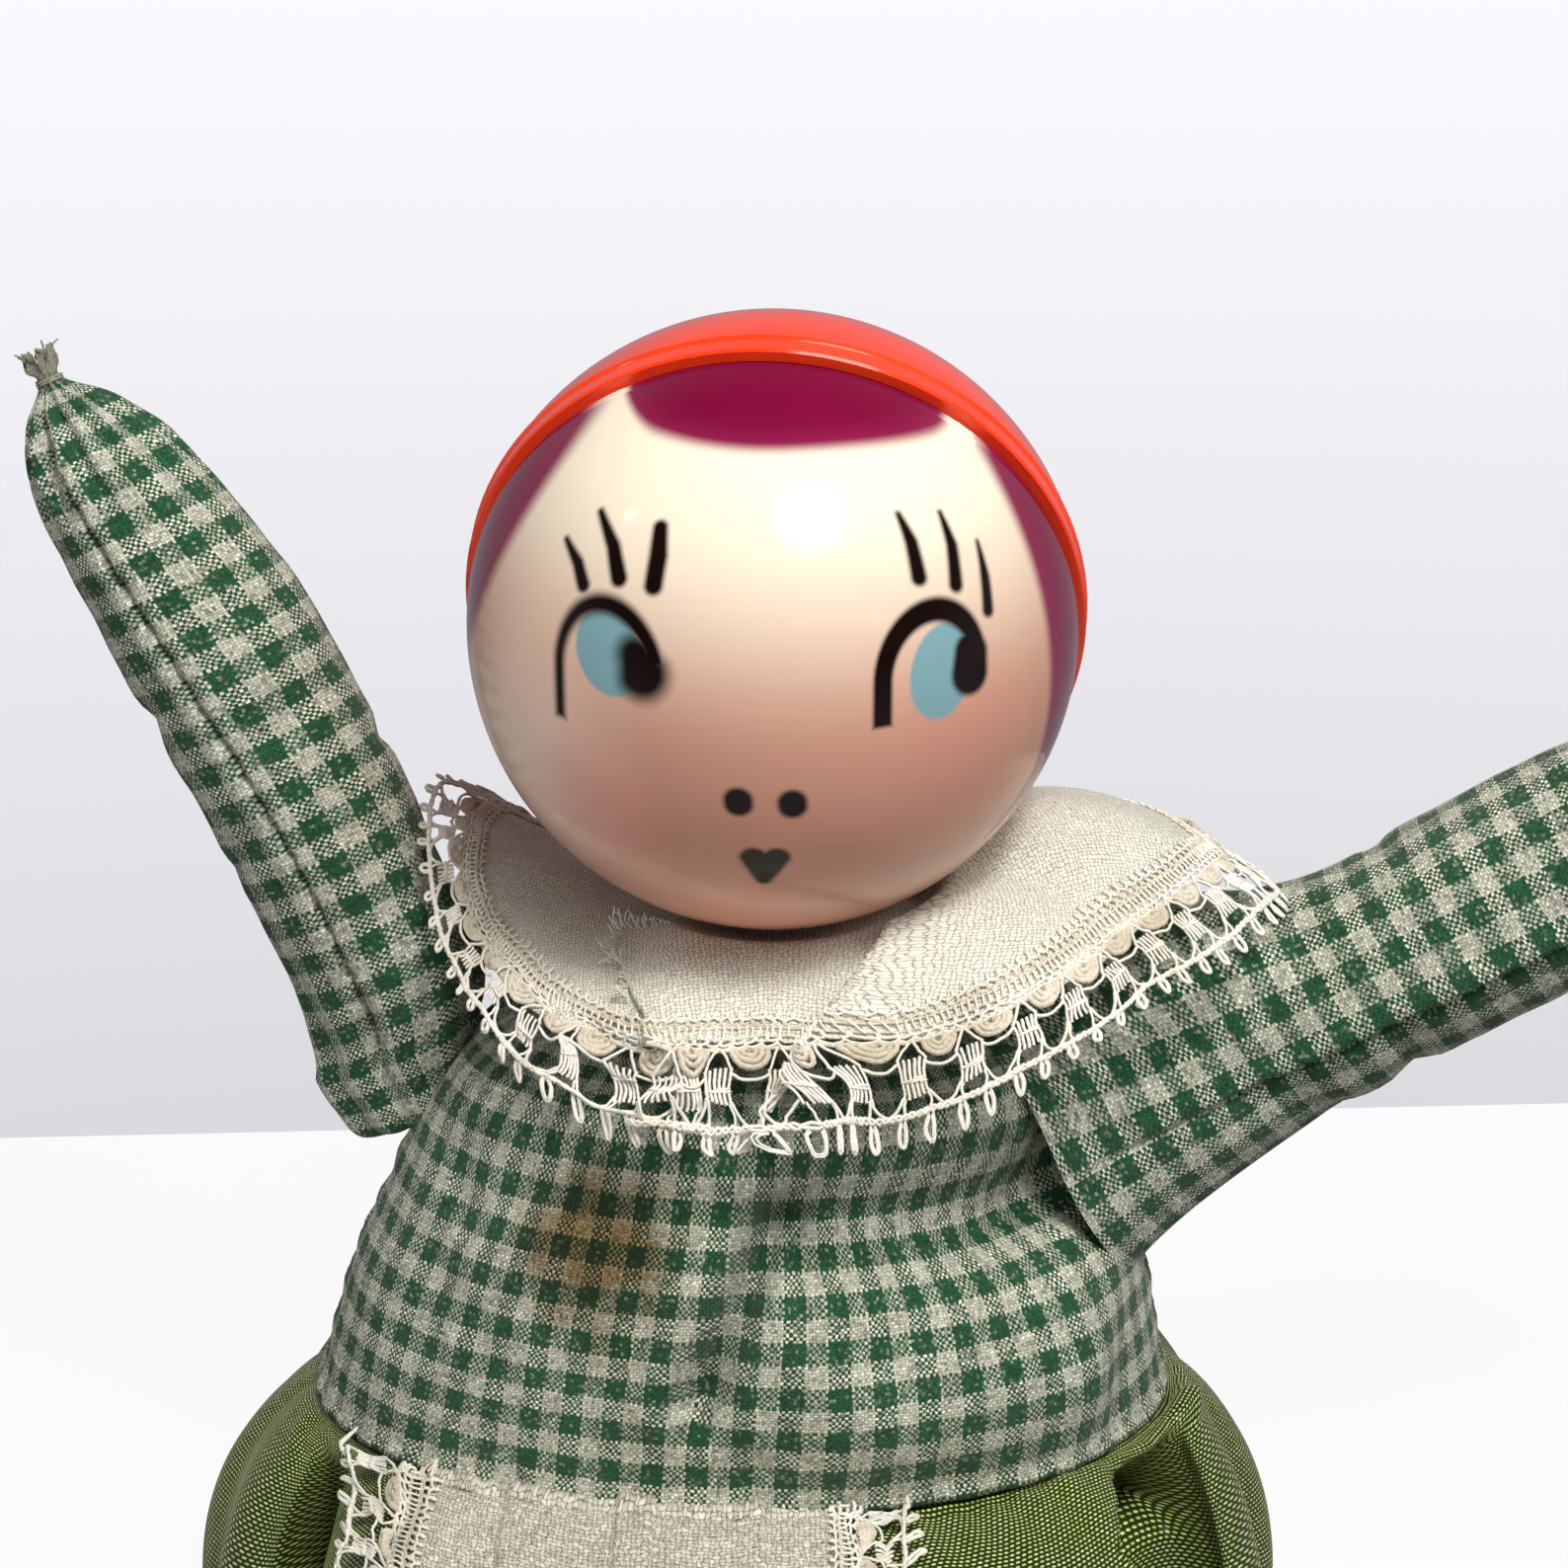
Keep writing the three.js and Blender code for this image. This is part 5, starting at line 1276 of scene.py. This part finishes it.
def skirt_folds(theta, s):
    """Lift of the skirt's folds and how far they lean over sideways, by degrees round the waist."""
    lift, lean_over = np.zeros(len(s)), np.zeros(len(s))
    room = 16 * np.sin(np.clip(s, 0, 1) * np.pi / 2) ** 1.25
    shelf, open_up, lower = smooth(s / 0.1), smooth((s - 0.11) / 0.08), smooth((s - 0.14) / 0.16)
    panel = theta + 32.5 + 36 * np.minimum(s, 0.42)
    for strength, height, middle, width in (
        (shelf, 2.4, -46, 8), (shelf * (1 - open_up), 3.4, -29, 9), (shelf, 4.2, -15, 6),
        (shelf, 2.6 - 0.45 * room, -4, 10), (lower, 0.8, -144, 4), (shelf, 1.2, -168, 6),
    ):
        lift += strength * height * bump(theta - middle, width)
    for strength, degrees, away, width in (
        (open_up, -7.0, theta + 15, 4.5), (open_up, -7.5, panel - 2.5, 2.4),
        (lower, 4.0, theta + 163, 4.5), (lower, 5.0, theta + 151.5, 2.6),
    ):
        lean_over += strength * degrees * bump(away, width)
    deep = (0.85 * room + 7.5) * (1 - 0.8 * smooth((s - 0.38) / 0.25))
    lift -= open_up * deep * smooth(panel / 1.4) * (1 - smooth((theta + 26) / 5))
    lift -= lower * 0.85 * room * smooth((-149 - theta) / 1.6) * (1 - smooth((-155 - theta) / 4))
    for middle in BACK_FOLDS:
        hill = 2.6 * bump(theta - middle, 6) - 2.4 * bump(theta - middle - 11, 4)
        lift += smooth(s * 2.6 - 0.12) * hill
    return lift, np.radians(lean_over)


def skirt_at(u, v):
    angle = np.pi / 2 + 2 * np.pi * u
    theta = (np.degrees(angle) + 180) % 360 - 180
    gathers = 0.3 * np.sin(67 * angle + 1.5 * np.sin(5 * angle)) * np.exp(-v / 0.3) * smooth(v * 12)
    ripples = 0.3 * np.sin(31 * angle + 2 * np.sin(4 * angle)) * smooth(v * 2.5) * (1 - 0.7 * v)
    lift, lean_over = skirt_folds(theta, v)
    spots = lifted(skirt_point, angle + lean_over, v, gathers + ripples + lift, under_skirt)
    spots[:, 2] = np.maximum(spots[:, 2], 0.7)
    return spots


def skirt_cut(u, v):
    return np.stack([u * 430, v * 46], -1)


# %% Gathered skirt
bm = cloth_grid(480, 40, skirt_at, skirt_cut)
skirt = new_piece(bm, "skirt_gathered", taffeta, ["skirt"])
add_thickness(skirt)
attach(skirt, "torso")

# %% [markdown]
# ## Lace
# The edging is bobbin lace, a ribbon of cotton thread about 16 mm wide. From its sewn side outwards it
# has a dense looped heading, a row of padded scallops, a row of open windows between sheaves of six
# threads, a twisted foot cord, and picots, the little loops at the edge. Each thread is drawn as a curve
# on the flat ribbon, then laid on the cloth's edge and given its thickness. A slow noise bends the
# threads, as old lace is never even.


# %% Threads of the lace ribbon
LACE_WIDE = 16.2
LACE_STEP = 6.6


def lace_heading(length):
    """The sewn side: rows of loops and a row of ladder stitches, as (points, radius, lift, finish)."""
    run = np.arange(0, length, 0.2)
    rows = []
    loops = ((0.5, 0.5, 4.1), (1.4, 0.45, 4.9), (3.7, 0.4, 4.5), (4.4, 0.5, 3.7))
    for row, (across, wide, pace) in enumerate(loops):
        turn = run * pace + 2.1 * row
        looped = np.stack([run + 0.42 * np.sin(turn), across + wide * np.cos(turn)], -1)
        rows.append((looped, 0.2, 0.3, int(row == 1)))
    for across, radius in ((2.0, 0.24), (3.2, 0.22), (5.0, 0.3)):
        rows.append((np.stack([run, np.full_like(run, across)], -1)[::3], radius, 0.2, 1))
    for x in np.arange(0.3, length, 0.85):
        rows.append((np.stack([np.full(4, x), np.linspace(1.9, 3.4, 4)], -1), 0.17, 0.4, 0))
    return rows


def lace_window(left, step):
    """One repeat of the open part: a scallop, a sheaf, the threads that link it, and two picots."""
    t = np.linspace(0, 1, 10)
    wave, mid, rows = np.sin(np.pi * t), left + step / 2, []
    for size in (1.0, 0.7, 0.4, 0.1):
        bow = np.stack([mid - 1.9 * size * np.cos(np.pi * t), 5.2 + 1.9 * size * wave], -1)
        rows.append((bow, 0.42, 0.2 + 0.4 * (1 - size), 1))
    for j in range(6):
        bar = np.stack([left + (j - 2.5) * 0.6 * (1 - 0.18 * wave), 7.2 + 4.1 * t], -1)
        rows.append((bar, 0.2, 0.35, 0))
    for side in (-1, 1):
        rows.append((np.stack([left + side * (0.2 + 1.3 * t), 5.1 + 2.3 * t], -1), 0.2, 0.35, 0))
        rows.append((np.stack([left + side * (1.3 + 0.2 * wave), 11.1 + 2.2 * t], -1), 0.19, 0.35, 0))
    rows.append((np.stack([left + 1.5 * np.sin(9 * t), 9.1 + 0.5 * t], -1), 0.15, 0.5, 0))
    reach = left + 1.5 + (step - 3.0) * t
    rows.append((np.stack([reach, 7.7 + 0.7 * wave], -1), 0.21, 0.35, 0))
    rows.append((np.stack([reach, 10.9 + 2.2 * wave**0.7], -1), 0.21, 0.35, 0))
    ring = np.linspace(-0.86 * np.pi, 0.86 * np.pi, 12)
    for middle in (left + 0.24 * step, left + 0.76 * step):
        for size in (1.0, 0.6):
            across = 14.8 + (0.7 + 0.6 * size) * np.cos(ring)
            rows.append((np.stack([middle + 0.52 * size * np.sin(ring), across], -1), 0.18, 0.3, 0))
    return rows


# %% A whole ribbon of lace
def lace_strands(length, seed, crumple):
    """All threads of a ribbon of some length, swayed by noise, which crumple strengthens along the ribbon."""
    count = max(round(length / LACE_STEP), 1)
    rows = lace_heading(length)
    foot = np.arange(0, length, 0.3)
    for twist in (0, np.pi):
        cord = np.stack([foot, 13.3 + 0.26 * np.sin(foot * 4.2 + twist)], -1)
        rows.append((cord, 0.24, 0.3 + 0.1 * twist / np.pi, 0))
    for i in range(count):
        rows += lace_window((i + 0.5) * length / count, length / count)
    swayed = []
    for points, radius, lift, finish in rows:
        slow = np.array([noise.noise_vector(Vector((x * 0.16, y * 0.3, seed))) for x, y in points])
        quick = np.array([noise.noise_vector(Vector((x * 1.1, y * 1.1, seed + 9))) for x, y in points])
        more = crumple(points[:, 0])
        free = smooth(points[:, 1] / 5) * more
        moved = points + 0.6 * slow[:, :2] * free[:, None] + 0.17 * quick[:, :2]
        swayed.append((moved, radius, lift + 0.55 * slow[:, 2] * free + 0.13 * quick[:, 2] * more, finish))
    return swayed


def lace_piece(name, length, seed, spot, replaces, crumple=np.ones_like):
    """Lays a lace ribbon by spot, which turns (along, across, lift) into millimetres of the frame."""
    strands = [(spot(points[:, 0], points[:, 1], lift), radius, finish)
               for points, radius, lift, finish in lace_strands(length, seed, crumple)]
    return thread_piece(name, strands, [lace_thread, old_thread], replaces)


print("strands in 20 mm of lace:", len(lace_strands(20, 0, np.ones_like)))

# %% [markdown]
# ## Apron
# The apron is a small panel of cotton, painted a darker grey for the shade it lies in, pleated at the
# waist and edged with the same lace. It lies on the skirt: its formula is the skirt's, lifted by a
# little more than the skirt's folds there.

# %% Apron
APRON_S = (0.0, 0.86)
APRON_LIFT = 1.6


def apron_edge(side, s):
    """Angles round the waist of the apron's right side (0) or left side (1), straight down the skirt."""
    return np.radians((228 + 26 * s, 283 - 8 * s)[side])


def apron_at(u, v):
    s = APRON_S[0] + (APRON_S[1] - APRON_S[0]) * v
    angle = apron_edge(0, s) + (apron_edge(1, s) - apron_edge(0, s)) * u
    lift = np.full(len(u), APRON_LIFT)
    for middle, side in ((0.24, 1), (0.5, 1), (0.575, -1), (0.82, -1)):
        off = (u - middle) * side
        lift += 1.0 * smooth(off / 0.01 + 0.5) * np.exp(-np.maximum(off, 0) / 0.06) * np.exp(-v / 0.9)
    lift += 0.25 * np.sin(u * 23 + 3 * v) * smooth(v * 3)
    return lifted(skirt_point, angle, s, lift, under_skirt)


bm = cloth_grid(120, 60, apron_at, lambda u, v: np.stack([u * 52, v * 38], -1))
apron = new_piece(bm, "apron_pleated", apron_cotton, ["apron"])
add_thickness(apron)
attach(apron, "torso")


# %% Apron lace
def edge_length(angle, s):
    return float(np.sum(np.linalg.norm(np.diff(skirt_point(angle, s), axis=0), axis=1)))


def side_spot(edge, side, width):
    """Lays lace down one side of the apron, with its picots outwards."""
    down = np.linspace(*APRON_S, 60)
    line = skirt_point(apron_edge(edge, down), down)
    run = run_along(line)
    apart = skirt_point(apron_edge(edge, down) + 0.01, down) - line
    per_mm = 0.01 / np.linalg.norm(apart, axis=1)
    def spot(along, across, lift):
        s = np.interp(along, run, down)
        turn = apron_edge(edge, s) + side * (across * width / LACE_WIDE - 2.0) * np.interp(s, down, per_mm)
        return lifted(skirt_point, turn, s, APRON_LIFT + 0.4 + lift, under_skirt)
    return spot, float(run[-1])


for name, edge, side, width, seed in (("right", 0, -1, 20.0, 2.0), ("left", 1, 1, 11.0, 5.0)):
    spot, length = side_spot(edge, side, width)
    piece = lace_piece(f"apron_lace_{name}_knotted", length, seed, spot, [f"apron_lace_{name}"],
                       lambda along: np.full_like(along, 2.4))
    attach(piece, "torso")


def hem_spot(along, across, lift):
    angle = hem_from + (hem_to - hem_from) * along / hem_length
    return lifted(skirt_point, angle, 0.83 + 0.165 * across / LACE_WIDE, APRON_LIFT + 0.4 + lift, under_skirt)


hem_from, hem_to = apron_edge(0, 0.9) - math.radians(9), apron_edge(1, 0.9) + math.radians(8)
hem_length = edge_length(np.linspace(hem_from, hem_to, 90), np.full(90, 0.9))
hem_lace = lace_piece("apron_lace_hem_knotted", hem_length, 7.0, hem_spot, ["apron_lace_hem"])
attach(hem_lace, "torso")

# %% [markdown]
# ## Cape collar
# The collar is two halves of cotton that meet a little to the right of the doll's chin. Each half runs
# from the neck, over a rounded middle, out to its lace. Three rings of points shape it: one round the
# neck, one in the middle and one at the outer edge, which is pushed up by the raised arms. The left half
# is folded over once near the front.

# %% Collar surface
NECK_TOP = np.array([4.0, 0.0, 94.0])
COLLAR = {
    1: (
        [(0, -25, 3.2), (14, -27, 3.4), (28, -22, 6), (34, -11, 11.5), (35, 0, 14.5), (32, 12, 12.5),
         (24, 21, 6), (13, 24, 1), (0, 25, 0)],
        [(0, -39, -16), (18, -41, -14), (37, -38, -6), (52, -28, -1.5), (61.5, -8, 3.0), (57, 12, 1.6),
         (40, 27, -3), (18, 33, -10), (0, 34, -13)],
    ),
    -1: (
        [(0, -25, 3.2), (-13, -25, 2.2), (-22, -20, 2), (-28, -12, 5), (-30, -2, 8), (-30, 8, 8),
         (-25, 17, 4), (-13, 23, 1), (0, 25, 0)],
        [(0, -39, -16), (-17, -38, -15), (-31, -31, -10), (-39, -20, -2), (-43, -6, 10), (-43, 6, 16),
         (-37, 19, 10), (-20, 31, -4), (0, 34, -13)],
    ),
}
COLLAR_NECK_R = 11.6
LACE_FROM = {1: ((-0.1, 0.1, 0.3, 0.4, 0.5, 0.6), (0.7, 0.7, 0.62, 0.72, 0.8, 0.7)),
             -1: ((-0.1, 0.1, 0.3, 0.45, 0.6), (0.7, 0.7, 0.6, 0.68, 0.66))}
LACE_TO = ((0.0, 0.15, 0.3, 0.44, 0.5), (1.0, 0.98, 0.92, 0.97, 1.0))
LACE_BENT = ((0.0, 0.12, 0.3, 0.5), (1.0, 1.0, 0.75, 1.0))
CLOTH_TO = 0.77


def collar_ring(side, share, s):
    """One half of the collar, from the front (share 0) to the back (1), and from the neck to its edge."""
    middle, edge = (np.array(ring) + NECK_TOP for ring in COLLAR[side])
    angle = -np.pi / 2 + side * np.pi * share
    neck = np.stack([4 + COLLAR_NECK_R * np.cos(angle), COLLAR_NECK_R * np.sin(angle),
                     94.2 + 0.9 * (1 - np.sin(angle))], -1)
    outer, s = spline(edge, share), s[..., None]
    pull = 2 * spline(middle, share) - 0.5 * neck - 0.5 * outer
    return (1 - s) ** 2 * neck + 2 * s * (1 - s) * pull + s * s * outer


def collar_plain(side):
    """One half, carried on past the front into the other half's place."""
    def at(share, s):
        other = collar_ring(-side, np.abs(share), s)
        return np.where((share < 0)[..., None], other, collar_ring(side, share, s))
    return at


# %% Folds of the collar
def under_collar(p):
    """A point under the collar, to tell its top from its underside."""
    return np.stack([4 + (p[:, 0] - 4) * 0.9, p[:, 1] * 0.9, p[:, 2] - 35], -1)


def right_folds(share, s):
    lift = 0.45 * np.sin(share * 31 - 1) * smooth(s * 2) + 0.3 * np.sin(share * 57 + 4 * s) * s
    return lift + 0.8 * bump(share - 0.2, 0.03) * s - 0.6 * bump(share - 0.3, 0.04) * s


def left_folds(share, s):
    """Heights of the left half's folds, and how far its one deep fold lies over sideways."""
    line = 0.09 + 0.28 * (0.64 - s) + 0.9 * np.maximum(0.41 - s, 0) ** 1.3
    past = share - line
    lift = 3.4 * smooth(past / 0.016 + 0.5) * np.exp(-np.maximum(past, 0) / 0.24) * smooth(s * 3)
    lift -= 1.2 * np.exp(-(((share - 0.31) / 0.03) ** 2 + ((s - 0.5) / 0.2) ** 2))
    lift += 0.8 * bump(share - 0.42, 0.05) * smooth(s * 2)
    lift += (0.3 * np.sin(share * 29 + 2 * s) + 0.25 * np.sin(share * 53 + 4 * s)) * s * smooth(share / 0.1)
    over = 0.034 * bump(past - 0.014, 0.017) * smooth(s * 3)
    crossed = smooth((0.03 - share) / 0.05)
    lift += crossed * (right_folds(np.abs(share), s) + 0.9)
    return lift, over


def clear_of_ball(spots):
    """Points moved out of the ball head's way, at rest and nodded back, with room for the cap's edge."""
    x, forward, z = HEAD_MM
    for y in (forward, -forward):
        middle = np.array([x, y, z])
        away = spots - middle
        far = np.linalg.norm(away, axis=-1, keepdims=True)
        spots = middle + away * np.maximum(1, (CAP_R + 0.8) / far)
    return spots


# %% The two halves of the collar
def collar_left(share, s, lift=0.0):
    folds, over = left_folds(share, s)
    return clear_of_ball(lifted(collar_plain(1), share - over, s, 0.4 + folds + lift, under_collar))


def collar_right(share, s, lift=0.0):
    folds = right_folds(share, s)
    return clear_of_ball(lifted(collar_plain(-1), share, s, 0.4 + folds + lift, under_collar))


def raw_edge(s):
    """Where the left half's raw front edge lies, as a share of the right half's ring."""
    return -0.115 - 0.33 * np.maximum(0.7 - s, 0)


def neck_edge(share):
    """The left half is cut away at its front corner, so its neck edge runs down there."""
    return 0.38 * (1 - smooth((share + 0.24) / 0.26))


def left_place(u, v):
    low = neck_edge(-0.22 + 1.2 * u)
    wing = 0.1 * bump(-0.22 + 1.2 * u - 0.5, 0.1)
    s = low + (CLOTH_TO + wing - low) * v
    start = raw_edge(s)
    return start + (0.985 - start) * u, s


def right_place(u, v):
    return 0.03 + 0.955 * u, CLOTH_TO * v


COLLAR_HALVES = {
    "left": (1, collar_left, left_place, "arm_left", (32, 0, 92), (74, 0, 92)),
    "right": (-1, collar_right, right_place, "arm_right", (-22, 0, 92), (-48, 0, 100)),
}
print("collar halves:", list(COLLAR_HALVES))

# %% Collar cloth and lace
for name, (side, spot, place, body, bend_from, bend_to) in COLLAR_HALVES.items():
    def cut(u, v, side=side, place=place):
        share, s = place(u, v)
        reach = COLLAR_NECK_R + 46 * s
        turn = np.pi * share * 0.85
        return np.stack([side * reach * np.sin(turn), -reach * np.cos(turn)], -1)
    bm = cloth_grid(230, 46, lambda u, v, spot=spot, place=place: spot(*place(u, v)), cut)
    cloth = new_piece(bm, f"collar_{name}_cotton", cotton, [f"collar_{name}"])
    add_thickness(cloth)
    edge = np.linspace(raw_edge(0.85) if side > 0 else 0.05, 0.985, 400)
    line = spot(edge, np.full(400, 0.85))
    run = run_along(line)
    def lay(along, across, lift, spot=spot, run=run, edge=edge, side=side):
        share = np.interp(along, run, edge)
        start = np.interp(share, *LACE_FROM[side])
        part = np.clip(across / LACE_WIDE, 0, 2) ** np.interp(share, *LACE_BENT)
        return spot(share, start + (np.interp(share, *LACE_TO) - start) * part, lift + 0.15)
    def crumple(along, reach=18.0 if side > 0 else 42.0):
        return 1 + 2.2 * smooth((reach - along) / reach)
    lace = lace_piece(f"collar_lace_{name}_knotted", float(run[-1]), 11.0 + side, lay,
                      [f"collar_lace_{name}"], crumple)
    for piece in (cloth, lace):
        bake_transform(piece)

# %% [markdown]
# ## Frayed edges
# The raw edge of the collar at its front opening has come apart into loose threads, and so have the
# tufts. Each is a short curve of thread, bent by noise.


# %% Loose threads
def frays(roots, seed):
    """Short bent threads, from rows of (start, direction, length)."""
    steps = np.linspace(0, 1, 9)[:, None]
    strands = []
    for i, (start, way, reach) in enumerate(roots):
        sway = np.array([noise.noise_vector(Vector((seed + i * 3.1, t * 1.6, 0.5))) for t in steps[:, 0]])
        strand = np.array(start) + np.array(way) * reach * steps + sway * reach * 0.5 * steps
        strands.append((clear_of_ball(strand), 0.11, 0))
    return strands


roots = []
for i in range(34):
    a, b = math.sin(i * 12.9), math.sin(i * 7.3)
    s = 0.36 + 0.3 * i / 34
    start = collar_left(np.array([raw_edge(s) + 0.006 * a]), np.array([s]), 0.2)[0]
    roots.append((start, (-0.7 + 0.3 * a, -0.3, 0.35 + 0.4 * b), 1.3 + 0.7 * abs(b)))
for i in range(40):
    a, b = math.sin(i * 9.7), math.sin(i * 5.1)
    share = -0.225 + 0.2 * i / 40
    start = collar_left(np.array([share]), np.array([float(neck_edge(share)) + 0.01]), 0.2)[0]
    roots.append((start, (-0.2 + 0.3 * a, -0.35, 0.85), 1.2 + 1.0 * abs(b) + 1.3 * math.exp(-i / 8)))
fray = thread_piece("collar_frayed_threads", frays(roots, 3.0), [lace_thread])
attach(fray, "torso")
for name, limb in LIMBS.items():
    turn, pivot = limb["turn"], limb["pivot"]
    middle = np.array([limb["side"] * limb["bend"], 0, limb["length"] + 2.8])
    roots = []
    for i in range(24):
        way = np.array([math.cos(i * 2.4), math.sin(i * 2.4), 1.5])
        start = middle + way * (1.5, 1.5, 0)
        roots.append((turn @ start + pivot, turn @ way * 0.55, 1.2 + 0.6 * math.sin(i * 5.7)))
    tuft = thread_piece(name + "_frayed_tuft", frays(roots, 8.0 + len(name)), [sewing_thread])
    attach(tuft, name)

# %% [markdown]
# ## Size
# The dressed doll has to keep the size of the frame, so both boxes are printed side by side.

# %% Sizes and finish
boxes = {"cad": [list(c) for c in cad_box], "visual": [list(c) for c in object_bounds()]}
print({k: [[round(x * 1000, 1) for x in c] for c in v] for k, v in boxes.items()})
